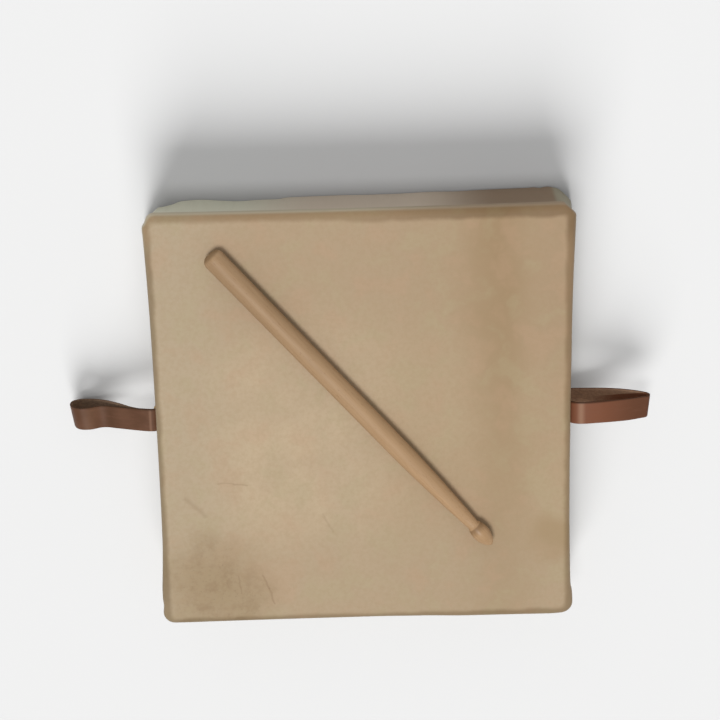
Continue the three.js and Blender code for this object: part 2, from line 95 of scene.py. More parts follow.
HIDE_THICKNESS = 1.6 * MM
FIT_GAP = 0.3 * MM
LIP_CORNER_RADIUS = 10 * MM
LIP_EDGE_RADIUS = 7 * MM
LIP_DEPTH = 11 * MM
LIP_UNDERCUT = 3.5 * MM
WAIST_DEPTH = 3.2 * MM
WAIST_Z = DRUM_DEPTH - LIP_DEPTH - LIP_UNDERCUT
HEM_FLARE = 2.6 * MM
HEM_EDGE_RADIUS = 5 * MM
HEM_HEIGHT = 16 * MM
HEM_BEND = 2.2 * MM  # radius where the hide turns up inside the frame
HEM_HALF_X = BOARD_INNER_X - HIDE_THICKNESS - FIT_GAP
HEM_HALF_Y = BOARD_INNER_Y - HIDE_THICKNESS - FIT_GAP
CORNER_CELLS = 5
PLEAT_SPAN = 20 * MM  # finely divided stretch beside each corner
PLEAT_CELLS = 6
MIDDLE_CELLS = 32
FAR_FOLD_LINES = [x * MM for x in (-67, -63.5, -61, -58.5, -55)]  # where a layer of hide begins
EDGE_STEPS = 5
WALL_SHARES = (0.9, 0.77, 0.64, 0.51, 0.38, 0.26, 0.16)  # of the waist's height
UNDERCUT_SHARES = ((0.14, 0.4), (0.62, 0.8), (1, 1))  # of the waist's depth and the undercut's height
HEM_TURN_SHARES = ((0.12, 0.55), (0.45, 0.18), (1, 0))  # of the hem's edge radius
HEM_BEND_SHARES = ((1, 0), (0.3, 0.3), (0, 1))  # of the radius of the bend inside the frame
HEM_SHARES = (0.4, 0.7, 0.96)  # of the hem's height
HEM_WAVE = 1.5 * MM  # its edge rises and falls
HEM_WAVE_LENGTH = 26 * MM
HEM_WAVE_FROM = 0.4  # of the hem's height
HEM_MARGIN = 3 * MM
FACE_START, LIP_FULL, WALL_FULL = 0.9, 0.965, 0.97  # of the half size, out from the still middle of the head
SWELL_START, SWELL_FULL = 0.5, 0.6  # of the drum's depth
HOLLOW_WIDTH = 55 * MM  # on the walls, with smaller dents; their depths are in millimetres
HOLLOW_DEPTH = 0.9
DENT_WIDTH = 22 * MM
DENT_DEPTH = 0.4
DRIFT_AT_WAIST = 0.3  # share of these depths
PLEAT_HEIGHT = 0.75  # the pleats' sizes are in millimetres
PLEAT_PITCH = 11
PLEAT_SLANT = 6
PLEATS_FULL = 0.1  # of the waist's height
PLEAT_RISE = (2, 8)  # from the corner
PLEAT_FALL = (46, 20)

# How far the gathered hide stands out from a straight side: (place along it, distance out), millimetres
LEFT_LIP = (
    (-174, 0), (-166, -0.1), (-161, -0.7), (-157, 0.4), (-145, 0.7), (-128, 0), (-105, -0.6), (160, -0.6),
    (165.8, -0.2), (169.4, -2.9), (172, -2.6), (174.7, -1.7), (178, -1.8),
)
RIGHT_LIP = ((-158, -0.1), (-153, -1.2), (-100, -0.9), (-60, -0.6), (0, -0.1), (60, 0.5), (170, 1.1))
NEAR_LIP = ((-172, 0.3), (-160, 0), (-150, 0.2), (10, 0.2), (45, 0.7), (80, 1.7), (150, 1.7), (166, 0.9))
FAR_HEM = (
    (-163, -3.3), (-155, -3.3), (-145, 0.4), (-136, 2.2), (-126, 2.2), (-104, 0), (-96, -1), (-80, 0.3),
    (-64, 0.4), (-56, 1.9), (-22, 2.7), (35, 2.3), (68, 3.4), (155, 4.2), (164, 3.2),
)
SIDE_HEM = ((100, 0), (150, 3.9), (166, 4.8))  # at the far ends of both sides
# How far from the origin, along X and Y together, the hide reaches at a corner: at the lip and the rear
CORNER_REACH = {
    ("far", "left"): (345.5 * MM, 337.2 * MM),
    ("far", "right"): (343.6 * MM, 345.8 * MM),
    ("near", "left"): (350 * MM, 344.6 * MM),
    ("near", "right"): (350.5 * MM, 343.4 * MM),
}
CORNER_CUT_WIDTH = 1.5 * MM  # over which a corner passes into its cut


def smooth(low, high, value):
    """0 at low, 1 at high and a smooth rise between them."""
    share = min(1, max(0, (value - low) / (high - low)))
    return share * share * (3 - 2 * share)


def follow(table, place):
    """The value at a place in a table of (place, value) rows, eased from row to row."""
    rows = list(zip(table, table[1:]))
    for (start, value), (end, next_value) in rows:
        if place <= end:
            return value + (next_value - value) * smooth(start, end, place)
    return table[-1][1]


def wall_setback(z):
    """How far the middle of a wall stands back from the lip."""
    below = max(0, (WAIST_Z - z) / WAIST_Z)
    return WAIST_DEPTH - HEM_FLARE * below * below


# Modelling helpers


def edit():
    bpy.ops.object.mode_set(mode="EDIT")


def leave_edit():
    bpy.ops.object.mode_set(mode="OBJECT")


def pick(kind, wanted):
    """Selects the verts, edges or faces of the edited mesh that pass a test, and nothing else."""
    modes = {"verts": "VERT", "edges": "EDGE", "faces": "FACE"}
    bpy.ops.mesh.select_mode(type=modes[kind])
    bpy.ops.mesh.select_all(action="DESELECT")
    mesh = bmesh.from_edit_mesh(bpy.context.object.data)
    for item in getattr(mesh, kind):
        if wanted(item):
            item.select_set(True)
    bmesh.update_edit_mesh(bpy.context.object.data)


def modify(piece, kind, **settings):
    """Adds a modifier to a piece, which is the active one, and applies it."""
    modifier = piece.modifiers.new(kind.lower(), kind)
    for name, value in settings.items():
        setattr(modifier, name, value)
    bpy.ops.object.modifier_apply(modifier=modifier.name)


def sculpt(piece, move):
    """Moves every point of a piece to where a function puts it."""
    for vertex in piece.data.vertices:
        vertex.co = move(vertex.co)


def settle():
    """Puts the active piece at the origin, unturned and unscaled, with its place in its mesh."""
    bpy.ops.object.transform_apply(location=True, rotation=True, scale=True)


def turn_outwards(piece):
    """Makes the faces agree, with the highest one facing up."""
    edit()
    bpy.ops.mesh.select_all(action="SELECT")
    bpy.ops.mesh.normals_make_consistent(inside=False)
    leave_edit()
    top = max(piece.data.polygons, key=lambda face: (face.center.z, face.area))
    if top.normal.z <= 0:
        edit()
        bpy.ops.mesh.select_all(action="SELECT")
        bpy.ops.mesh.flip_normals()
        leave_edit()


def dress(piece, *materials):
    """Puts materials on a piece; where it gets a thickness, the later ones go inside and on its rim."""
    piece.data.materials.clear()
    for material in materials:
        piece.data.materials.append(material)


def carry(piece, name, body, replaced=()):
    """Names a finished piece, says what carries it and hides the CAD parts it stands for."""
    piece.name = name
    piece.data.name = name
    if body:
        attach(piece, body)
    if replaced:
        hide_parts(*replaced)
    bpy.ops.object.select_all(action="DESELECT")


# Material helpers

WHITE = (1, 1, 1, 1)
MIX_FACTOR, MIX_UNDER, MIX_OVER, MIX_RESULT = 0, 6, 7, 2  # sockets of a colour Mix node
WANDER_DETAIL = 3
NOISE_MIDDLE = (0.5, 0.5, 0.5)
ACROSS_HEAD = (1, 1, 0)


def colour(tone):
    """An sRGB hex value as a linear colour; any other tone is left as it is."""
    if not isinstance(tone, str):
        return tone
    channels = [int(tone[i:i + 2], 16) / 255 for i in (1, 3, 5)]
    return [c / 12.92 if c <= 0.04045 else ((c + 0.055) / 1.055) ** 2.4 for c in channels] + [1]


def new_material(name):
    """A node material with an empty Principled shader; returns the material, its tree and the shader."""
    material = bpy.data.materials.new(name)
    material.use_nodes = True
    tree = material.node_tree
    return material, tree, tree.nodes["Principled BSDF"]


def fill(tree, node, inputs):
    """Gives a node's inputs their values, or links them to other nodes' outputs."""
    for key, value in inputs.items():
        if isinstance(value, bpy.types.NodeSocket):
            tree.links.new(value, node.inputs[key])
        else:
            node.inputs[key].default_value = value


def add(tree, kind, inputs=None, output=0, **settings):
    """Adds a node with its settings and links, and returns one of its outputs."""
    made = tree.nodes.new(f"ShaderNode{kind}")
    for name, value in settings.items():
        setattr(made, name, value)
    fill(tree, made, inputs or {})
    return made.outputs[output]


def fade(tree, *spans):
    """The product of smooth fades. A span is a value, two ends, and the strengths there if not 0 and 1."""
    shown = None
    for value, low, high, *strengths in spans:
        start, end = strengths or (0, 1)
        limits = {"Value": value, "From Min": low, "From Max": high, "To Min": start, "To Max": end}
        faded = add(tree, "MapRange", limits, interpolation_type="SMOOTHSTEP")
        if shown is not None:
            faded = add(tree, "Math", {0: shown, 1: faded}, operation="MULTIPLY")
        shown = faded
    return shown


def paint(tree, under, *coats, blend_type="MIX"):
    """Lays coats over a first tone. A coat is a tone and the spans over which it fades in."""
    for over, *spans in coats:
        values = {MIX_FACTOR: fade(tree, *spans), MIX_UNDER: colour(under), MIX_OVER: colour(over)}
        under = add(tree, "Mix", values, MIX_RESULT, data_type="RGBA", blend_type=blend_type)
    return under


def speckle(tree, point, size, detail=2, roughness=0.5, stretch=(1, 1, 1)):
    """Noise whose blots are about as wide as size, between 0 and 1."""
    scaled = add(tree, "Mapping", {"Vector": point, "Scale": stretch})
    values = {"Vector": scaled, "Scale": 1 / size, "Detail": detail, "Roughness": roughness}
    return add(tree, "TexNoise", values)


def wandering(tree, point, size, reach):
    """The same place, shifted a little by noise, so that marks get uneven outlines."""
    shift = add(tree, "TexNoise", {"Vector": point, "Scale": 1 / size, "Detail": WANDER_DETAIL}, "Color")
    centred = add(tree, "VectorMath", {0: shift, 1: NOISE_MIDDLE}, operation="SUBTRACT")
    scaled = add(tree, "VectorMath", {0: centred, "Scale": reach}, operation="SCALE")
    return add(tree, "VectorMath", {0: point, 1: scaled}, operation="ADD")


def gap_to(tree, value, middle):
    """How far a value lies from a middle, to either side."""
    offset = add(tree, "Math", {0: value, 1: middle}, operation="SUBTRACT")
    return add(tree, "Math", {0: offset}, operation="ABSOLUTE")


# Rawhide: scraped, stretched wet and dried. Tan and satin, clouded with greener and pinker tones, with grime
# and scuffs. The rounded rim is darkened by painted shade and, in part, by the bent and handled hide; the
# far wall and the outside of the far lip are painted with light and shade.

CLOUD_WIDTH = 60 * MM
BLUSH_WIDTH = 26 * MM
MOTTLE_WIDTH = 3.6 * MM
PORE_WIDTH = 0.9 * MM  # finer in life; drawn as coarse as it needs to show
PORE_DEPTH = 0.03 * MM
CREASE_WIDTH = 14 * MM
CREASE_DEPTH = 0.25 * MM
STREAK_WIDTH = 5 * MM  # down the walls
STAIN_CENTRE = (-127 * MM, -143 * MM)
STAIN_REACH = 60 * MM
STAIN_HEART = 14 * MM
BLOT_WIDTH = 11 * MM  # in the stain, with finer specks of grime
SPECK_WIDTH = 2.4 * MM
PATCH_CENTRE = (153 * MM, -106 * MM)
PATCH_REACH = 28 * MM
PATCH_HEART = 4 * MM
BAND_X = 113 * MM
BAND_REACH = 45 * MM
RIM_SHADE_START = 7.5 * MM  # painted shade on the rounded rim, in part darker handled hide; it starts this far in from the outer edge
RIM_SHADE_FULL = 2.8 * MM
RIM_SHADE_WAVER = 0.7 * MM
RIM_WAVER_LENGTH = 18 * MM
RIM_CORNER_BLEND = 6 * MM
FAR_RIM_SHIFT_LEFT = 1.5 * MM  # the painted shade on the far rim reaches farther in, most of all on the right
FAR_RIM_SHIFT_RIGHT = 4.2 * MM
FLANK_TOP_Z = DRUM_DEPTH - 2 * MM  # the outside of the lip
FLANK_FULL_Z = DRUM_DEPTH - 5 * MM
WALL_TOP_Z = WAIST_Z + 1.5 * MM
SCUFFS = (  # from, to, half width and strength, in millimetres on the head
    ((-109, -134), (-107, -150), 1.2, 0.35),
    ((-88, -135), (-83, -146), 1.4, 0.4),
    ((-83, -146), (-79, -161), 1.4, 0.4),
    ((-122, -51), (-110, -51), 1.0, 0.3),
    ((-110, -52), (-98, -53), 1.2, 0.35),
    ((-150, -64), (-134, -79), 3.5, 0.25),
    ((-36, -81), (-28, -96), 1.6, 0.2),
)


def way_from(tree, point, start):
    """The way across the head from a place to a point."""
    flat = add(tree, "VectorMath", {0: point, 1: ACROSS_HEAD}, operation="MULTIPLY")
    return add(tree, "VectorMath", {0: flat, 1: (*start, 0)}, operation="SUBTRACT")


def distance_to(tree, point, centre):
    """Distance across the head from a centre."""
    return add(tree, "VectorMath", {0: way_from(tree, point, centre)}, "Value", operation="LENGTH")


def distance_to_scuff(tree, point, start, end):
    """Distance across the head from a straight scuff, whose ends are in millimetres."""
    start, end = Vector(start) * MM, Vector(end) * MM
    along = (end - start).to_3d()
    way = way_from(tree, point, start)
    values = {0: way, 1: along / along.length_squared}
    share = add(tree, "VectorMath", values, "Value", operation="DOT_PRODUCT")
    held = add(tree, "Clamp", {"Value": share})
    foot = add(tree, "VectorMath", {0: tuple(along), "Scale": held}, operation="SCALE")
    gap = add(tree, "VectorMath", {0: way, 1: foot}, operation="SUBTRACT")
    return add(tree, "VectorMath", {0: gap}, "Value", operation="LENGTH")


def distance_in_from_lip(tree, point, x, y):
    """How far a place lies in from the outer edge of the lip, a little uneven along it."""
    insets = []
    for across, half in ((x, LIP_HALF_X), (y, LIP_HALF_Y)):
        out = add(tree, "Math", {0: across}, operation="ABSOLUTE")
        insets.append(add(tree, "Math", {0: half, 1: out}, operation="SUBTRACT"))
    to_side, to_end = insets
    shift = (x, -70 * MM, 20 * MM, FAR_RIM_SHIFT_LEFT, FAR_RIM_SHIFT_RIGHT)
    far = fade(tree, (y, 0, 100 * MM), shift)
    to_end = add(tree, "Math", {0: to_end, 1: far}, operation="SUBTRACT")
    nearest = add(tree, "Math", {0: to_side, 1: to_end, 2: RIM_CORNER_BLEND}, operation="SMOOTH_MIN")
    uneven = speckle(tree, point, RIM_WAVER_LENGTH, detail=3)
    waver = fade(tree, (uneven, 0.3, 0.7, -RIM_SHADE_WAVER, RIM_SHADE_WAVER))
    return add(tree, "Math", {0: nearest, 1: waver}, operation="ADD")


def playing_face(tree, point, x, y):
    """The tones of the head: broad washes first, then the stain, the scuffs and a fine mottle."""
    drift = wandering(tree, point, 40 * MM, 36 * MM)
    drift_x = add(tree, "SeparateXYZ", {0: drift})
    wide_drift_x = add(tree, "SeparateXYZ", {0: wandering(tree, point, 70 * MM, 60 * MM)})
    clouds = speckle(tree, point, CLOUD_WIDTH, detail=3)
    blush = speckle(tree, drift, BLUSH_WIDTH, detail=3)
    stain = (distance_to(tree, drift, STAIN_CENTRE), STAIN_REACH, STAIN_HEART)
    blots = speckle(tree, point, BLOT_WIDTH, detail=5, roughness=0.65)
    specks = speckle(tree, point, SPECK_WIDTH, detail=3, roughness=0.7)
    mottle = speckle(tree, point, MOTTLE_WIDTH, detail=4, roughness=0.7)
    wobble = wandering(tree, point, 9 * MM, 4 * MM)
    scuffs = []
    for start, end, half_width, strength in SCUFFS:
        gap = distance_to_scuff(tree, wobble, start, end)
        scuffs.append(("#84694b", (gap, half_width * MM, 0, 0, strength)))
    return paint(
        tree, "#bba587",
        ("#c1ab8c", (clouds, 0.38, 0.62)),
        ("#b29a7a", (wide_drift_x, -25 * MM, 55 * MM, 0, 0.85)),
        ("#ae9678", (y, 20 * MM, 120 * MM, 0, 0.85)),
        ("#b19b7e", (y, -50 * MM, -140 * MM, 0, 0.8)),
        ("#ab9170", (y, 20 * MM, 120 * MM, 0, 0.85), (x, 20 * MM, 110 * MM, 0, 0.7)),
        ("#b5a286", (x, -80 * MM, -150 * MM, 0, 0.85)),
        ("#a08562", (gap_to(tree, drift_x, BAND_X), BAND_REACH, 0), (y, -170 * MM, 150 * MM, 0.35, 0.95)),
        ("#aa9071", (x, 120 * MM, 160 * MM, 0, 0.8), (y, -100 * MM, 100 * MM)),
        ("#ba987a", (blush, 0.5, 0.7, 0, 0.3)),
        ("#b0a27e", (blush, 0.5, 0.32, 0, 0.3)),
        ("#a0855f", (distance_to(tree, drift, PATCH_CENTRE), PATCH_REACH, PATCH_HEART, 0, 0.6)),
        ("#a18a69", (*stain, 0, 0.8)),
        ("#93795a", stain, (blots, 0.42, 0.68, 0, 0.6)),
        ("#7b6549", stain, (specks, 0.56, 0.72, 0, 0.4)),
        *scuffs,
        ("#a48a66", (mottle, 0.35, 0.7, 0, 0.25)),
    )


def rawhide():
    material, tree, shader = new_material("rawhide_scraped_satin")
    point = add(tree, "TexCoord", output="Object")
    x, y, z = add(tree, "SeparateXYZ", {0: point}).node.outputs
    behind = (y, 140 * MM, 162 * MM)
    # Painted shade on the rounded rim, in part darker bent and handled hide, multiplied into the tone:
    # strongest on the left and the far right.
    far_rim_shade = paint(tree, "#e1dbd1", ("#cdc6ba", (x, -10 * MM, 90 * MM)))
    rim = paint(
        tree, "#d3cfc7",
        ("#dfdbd3", (x, -100 * MM, 100 * MM)),
        ("#dad6ce", (y, -150 * MM, -165 * MM)),
        (far_rim_shade, (y, 140 * MM, 160 * MM)),
    )
    # Painted light on the outside of the far lip: paler than the shaded rim above it, darker towards the
    # right.
    flank = paint(tree, "#b2a68e", ("#97836a", (x, -20 * MM, 118 * MM)))
    # Painted light and shade on the far wall: pale at the left, shaded brown towards the right, and a lit
    # facet at the right corner.
    rear = paint(
        tree, "#c8c6b2",
        ("#bfb09e", (x, -110 * MM, -30 * MM)),
        ("#86715b", (x, 40 * MM, 118 * MM)),
        ("#918974", (x, 159 * MM, 163 * MM)),
    )
    pale = speckle(tree, point, 50 * MM, detail=3, stretch=(1, 1, 0.4))
    streaks = speckle(tree, point, STREAK_WIDTH, detail=4, roughness=0.6, stretch=(1, 1, 0.15))
    wall = paint(
        tree, "#ad9a78",
        ("#c2b292", (pale, 0.35, 0.65)),
        (rear, behind),
        ("#8f7a5a", (streaks, 0.45, 0.75, 0, 0.2), (fade(tree, behind), 0, 1, 1, 0.3)),
    )
    inset = distance_in_from_lip(tree, point, x, y)
    tone = playing_face(tree, point, x, y)
    tone = paint(tree, tone, (rim, (inset, RIM_SHADE_START, RIM_SHADE_FULL)), blend_type="MULTIPLY")
    tone = paint(
        tree, tone,
        (flank, (z, FLANK_TOP_Z, FLANK_FULL_Z), behind),
        (wall, (z, WALL_TOP_Z + MM, WALL_TOP_Z - MM)),
    )
    pores = speckle(tree, point, PORE_WIDTH, detail=3, roughness=0.6)
    creases = speckle(tree, point, CREASE_WIDTH, detail=5, roughness=0.55)
    pored = add(tree, "Bump", {"Height": pores, "Distance": PORE_DEPTH})
    creased = add(tree, "Bump", {"Height": creases, "Distance": CREASE_DEPTH, "Normal": pored})
    finish = {"Roughness": 0.62, "Specular IOR Level": 0.35}
    fill(tree, shader, {"Base Color": tone, "Normal": creased, **finish})
    return material


# Flesh side of the hide: scraped, dry and fibrous, paler and more matt than the outside.

FLESH_CLOUD_WIDTH = 45 * MM
FLESH_FIBRE_WIDTH = 2.2 * MM
FLESH_FIBRE_DEPTH = 0.12 * MM


def rawhide_inside():
    material, tree, shader = new_material("rawhide_flesh_side")
    point = add(tree, "TexCoord", output="Object")
    clouds = speckle(tree, point, FLESH_CLOUD_WIDTH, detail=4)
    fibres = speckle(tree, point, FLESH_FIBRE_WIDTH, detail=5, roughness=0.7, stretch=(1, 0.25, 1))
    tone = paint(tree, "#b9a27c", ("#cdb991", (clouds, 0.3, 0.7)), ("#a08861", (fibres, 0.35, 0.7, 0, 0.35)))
    raised = add(tree, "Bump", {"Height": fibres, "Distance": FLESH_FIBRE_DEPTH})
    finish = {"Roughness": 0.85, "Specular IOR Level": 0.25}
    fill(tree, shader, {"Base Color": tone, "Normal": raised, **finish})
    return material


# Vegetable-tanned strap leather, brown, waxed to a satin on the grain side and fibrous on the flesh side.
# Its cut edges are burnished dark.

STRAP_NEAR_Y = left_foot_low.y
STRAP_FAR_Y = left_foot_high.y
STRAP_WIDTH = STRAP_FAR_Y - STRAP_NEAR_Y
STRAP_MIDDLE_Y = (STRAP_FAR_Y + STRAP_NEAR_Y) / 2
STRAP_CLOUD_WIDTH = 16 * MM
PULL_WIDTH = 3 * MM  # streaks where the leather has been pulled
PULL_DEPTH = 0.08 * MM
GRAIN_WIDTH = 0.7 * MM  # finer in life; drawn as coarse as it needs to show
GRAIN_DEPTH = 0.05 * MM
# Darker along the far edge of the grain side, most of all on the right handle.
FAR_EDGE_DARK_WIDTH = 2 * MM
FAR_EDGE_DARK_FULL = 0.4 * MM
BEND_HIGHLIGHTS = (  # painted highlights where the strap curves: place along X, reach and strength
    (-177.5 * MM, 1.8 * MM, 0.4), (180.8 * MM, 4.5 * MM, 0.7), (-228 * MM, 11 * MM, 0.2),
)
DIP_SHADE_X = -212 * MM  # painted shade where the left loop dips
DIP_SHADE_REACH = 9 * MM
TIP_SHADE_START = 190 * MM  # painted shade along the right handle, growing out to its tip, where the leather slopes away from the light
TIP_X = 236 * MM
FOLD_SHADOW_START = 190 * MM  # inside the right handle, painted shadow under the upper layer
FOLD_SHADOW_END = 216 * MM
FOLD_SHADOW_OFFSET = 10.6 * MM  # from the strap's far edge to the painted shadow, at its start
FOLD_SHADOW_SLOPE = 0.17
STRAP_FIBRE_WIDTH = 1.4 * MM
STRAP_FIBRE_DEPTH = 0.12 * MM
EDGE_LAYER_WIDTH = 0.8 * MM


def strap_leather():
    material, tree, shader = new_material("veg_tan_leather_grain_side")
    point = add(tree, "TexCoord", output="Object")
    x, y, _ = add(tree, "SeparateXYZ", {0: point}).node.outputs
    clouds = speckle(tree, point, STRAP_CLOUD_WIDTH, detail=3)
    pulled = speckle(tree, point, PULL_WIDTH, detail=4, roughness=0.6, stretch=(0.22, 1.2, 0.22))
    # The right handle's tone, with painted shade growing towards its tip.
    right_tone_shaded_to_tip = paint(tree, "#7f5039", ("#65402c", (x, TIP_SHADE_START, TIP_X)))
    # Painted highlights where the straps curve towards the light.
    bend_highlights = [("#a07b62", (gap_to(tree, x, bend_x), reach, 0, 0, level)) for bend_x, reach, level in BEND_HIGHLIGHTS]
    to_far_edge = add(tree, "Math", {0: STRAP_FAR_Y, 1: y}, operation="SUBTRACT")
    tone = paint(
        tree, "#5f402d",
        ("#674734", (clouds, 0.35, 0.65)),
        (right_tone_shaded_to_tip, (x, 0, 100 * MM)),
        # painted shade in the left loop's dip
        ("#573c2a", (gap_to(tree, x, DIP_SHADE_X), DIP_SHADE_REACH, 0, 0, 0.5)),
        ("#7a5240", (pulled, 0.45, 0.75, 0, 0.25)),
        *bend_highlights,
        # darker along the far edge, most of all on the right handle
        ("#3f2615", (to_far_edge, FAR_EDGE_DARK_WIDTH, FAR_EDGE_DARK_FULL), (x, 0, 100 * MM, 0.25, 0.85)),
    )
    grain = speckle(tree, point, GRAIN_WIDTH, detail=3, roughness=0.6)
    grained = add(tree, "Bump", {"Height": grain, "Distance": GRAIN_DEPTH})
    raised = add(tree, "Bump", {"Height": pulled, "Distance": PULL_DEPTH, "Normal": grained})
    finish = {"Roughness": 0.55, "Specular IOR Level": 0.18}
    fill(tree, shader, {"Base Color": tone, "Normal": raised, **finish})
    return material


def strap_flesh_side():
    material, tree, shader = new_material("veg_tan_leather_flesh_side")
    point = add(tree, "TexCoord", output="Object")
    x, y, _ = add(tree, "SeparateXYZ", {0: point}).node.outputs
    fibres = speckle(tree, point, STRAP_FIBRE_WIDTH, detail=5, roughness=0.75, stretch=(0.5, 1, 0.5))
    left = paint(tree, "#6d5646", ("#88705a", (fibres, 0.3, 0.7)))
    right = paint(tree, "#8f705b", ("#ac8970", (fibres, 0.3, 0.7)))
    along = add(tree, "Math", {0: x, 1: FOLD_SHADOW_START}, operation="SUBTRACT")
    values = {0: along, 1: FOLD_SHADOW_SLOPE, 2: STRAP_FAR_Y - FOLD_SHADOW_OFFSET}
    edge = add(tree, "Math", values, operation="MULTIPLY_ADD")
    past_edge = add(tree, "Math", {0: y, 1: edge}, operation="SUBTRACT")
    tone = paint(
        tree, left,
        (right, (x, -50 * MM, 50 * MM)),
        # painted shadow of the upper layer on the inside of the right handle
        ("#6b3a20", (x, FOLD_SHADOW_START, FOLD_SHADOW_END), (past_edge, 3.8 * MM, 2.8 * MM, 0, 0.85)),
    )
    raised = add(tree, "Bump", {"Height": fibres, "Distance": STRAP_FIBRE_DEPTH})
    finish = {"Roughness": 0.88, "Specular IOR Level": 0.25}
    fill(tree, shader, {"Base Color": tone, "Normal": raised, **finish})
    return material


def strap_cut_edge():
    material, tree, shader = new_material("veg_tan_leather_burnished_edge")
    layers = speckle(tree, add(tree, "TexCoord", output="Object"), EDGE_LAYER_WIDTH, detail=3)
    values = {MIX_FACTOR: layers, MIX_UNDER: colour("#442c1b"), MIX_OVER: colour("#573b29")}
    tone = add(tree, "Mix", values, MIX_RESULT, data_type="RGBA")
    fill(tree, shader, {"Base Color": tone, "Roughness": 0.7, "Specular IOR Level": 0.1})
    return material


# Beech, turned, sanded fine and sealed thinly: fibres along the stick with short dark flecks. The butt is
# darker:
# end grain that drank more of the sealer, with painted shade over it; painted shade also rings the bead's
# shoulder.

STICK_DEGREES = -48.65  # butt to bead, from +X
STICK_LENGTH = 339.6 * MM
BUTT_AT = -189.3 * MM  # along the stick, from the middle of the drum
BEECH_BAND_WIDTH = 7 * MM
BEECH_FIBRE_WIDTH = 1.1 * MM  # finer in life; drawn as coarse as it needs to show
BEECH_FIBRE_DEPTH = 0.02 * MM
FLECK_WIDTH = 0.9 * MM
BEAD_PALENESS = (1.26, 1.24, 1.22, 1)  # how much paler than the butt
# darker butt end: end grain, with painted shade over it
END_GRAIN_AND_SHADE_DEPTH = 4 * MM
GROOVE_AT = 317.2 * MM  # from the butt, where the bead begins; painted shade lies on the bead's shoulder from here
GROOVE_END = 325.2 * MM


def beech():
    material, tree, shader = new_material("beech_turned_sealed")
    turn = (0, 0, math.radians(-STICK_DEGREES))
    along = add(tree, "Mapping", {"Vector": add(tree, "TexCoord", output="Object"), "Rotation": turn})
    from_middle = add(tree, "SeparateXYZ", {0: along})
    from_butt = add(tree, "Math", {0: from_middle, 1: BUTT_AT}, operation="SUBTRACT")
    bands = speckle(tree, along, BEECH_BAND_WIDTH, detail=3, stretch=(0.07, 1, 1))
    fibres = speckle(tree, along, BEECH_FIBRE_WIDTH, detail=4, roughness=0.65, stretch=(0.05, 1, 1))
    flecks = speckle(tree, along, FLECK_WIDTH, detail=1, stretch=(0.28, 1, 1))
    tone = paint(
        tree, "#a18362",
        ("#aa8b69", (bands, 0.35, 0.65)),
        ("#93704b", (fibres, 0.45, 0.75, 0, 0.4)),
        ("#7e5b38", (flecks, 0.66, 0.76, 0, 0.35)),
    )
    tone = paint(tree, tone, (BEAD_PALENESS, (from_butt, 0, STICK_LENGTH)), blend_type="MULTIPLY")
    tone = paint(
        tree, tone,
        # darker butt end: end grain and painted shade
        ("#7f6444", (from_butt, END_GRAIN_AND_SHADE_DEPTH, END_GRAIN_AND_SHADE_DEPTH / 3, 0, 0.85)),
        # painted shade on the bead's shoulder
        ("#6f5233", (from_butt, GROOVE_AT, GROOVE_AT + MM), (from_butt, GROOVE_END, GROOVE_AT + MM, 0, 0.6)),
    )
    rough = fade(tree, (from_butt, GROOVE_AT, GROOVE_END, 0.52, 0.32))
    raised = add(tree, "Bump", {"Height": fibres, "Distance": BEECH_FIBRE_DEPTH})
    finish = {"Roughness": rough, "Specular IOR Level": 0.3}
    fill(tree, shader, {"Base Color": tone, "Normal": raised, **finish})
    return material


# Pine, planed and unvarnished: pale early wood, darker late wood every few millimetres, some knots.

RING_WIDTH = 6 * MM
PINE_FIBRE_WIDTH = 0.8 * MM  # finer in life; drawn as coarse as it needs to show
PINE_FIBRE_DEPTH = 0.05 * MM
KNOT_SPACING = 130 * MM


def pine(name, grain_turn):
    """Pine whose grain runs along X, or along Y when it is given a quarter turn."""
    material, tree, shader = new_material(name)
    point = add(tree, "TexCoord", output="Object")
    turned = add(tree, "Mapping", {"Vector": point, "Rotation": (0, 0, grain_turn)})
    along = wandering(tree, turned, 60 * MM, 6 * MM)
    rings = speckle(tree, along, RING_WIDTH, stretch=(0.03, 1, 0.6))
    fibres = speckle(tree, along, PINE_FIBRE_WIDTH, detail=4, roughness=0.7, stretch=(0.04, 1, 1))
    knots = add(tree, "TexVoronoi", {"Vector": along, "Scale": 1 / KNOT_SPACING}, "Distance")
    tone = paint(
        tree, "#d3b383",
        ("#b98d58", (rings, 0.4, 0.62)),
        ("#9c7444", (fibres, 0.4, 0.7, 0, 0.35)),
        ("#6e4523", (knots, 0.06, 0.02, 0, 0.8)),
    )
    raised = add(tree, "Bump", {"Height": fibres, "Distance": PINE_FIBRE_DEPTH})
    fill(tree, shader, {"Base Color": tone, "Roughness": 0.7, "Normal": raised})
    return material


# Blued steel tacks and zinc-dulled steel screws; the strap tacks are antiqued brass. Worn bright in spots.

WEAR_WIDTH = 2.5 * MM
WEAR_ROUGHENS = 0.2
PIT_WIDTH = 0.7 * MM  # finer in life; drawn as coarse as it needs to show
PIT_DEPTH = 0.02 * MM


def worn_metal(name, bright, dull, roughness):
    material, tree, shader = new_material(name)
    point = add(tree, "TexCoord", output="Object")
    wear = speckle(tree, point, WEAR_WIDTH, detail=4, roughness=0.65)
    tone = paint(tree, bright, (dull, (wear, 0.4, 0.65)))
    rough = fade(tree, (wear, 0.35, 0.7, roughness, roughness + WEAR_ROUGHENS))
    pitted = add(tree, "Bump", {"Height": speckle(tree, point, PIT_WIDTH), "Distance": PIT_DEPTH})
    fill(tree, shader, {"Base Color": tone, "Metallic": 1.0, "Roughness": rough, "Normal": pitted})
    return material


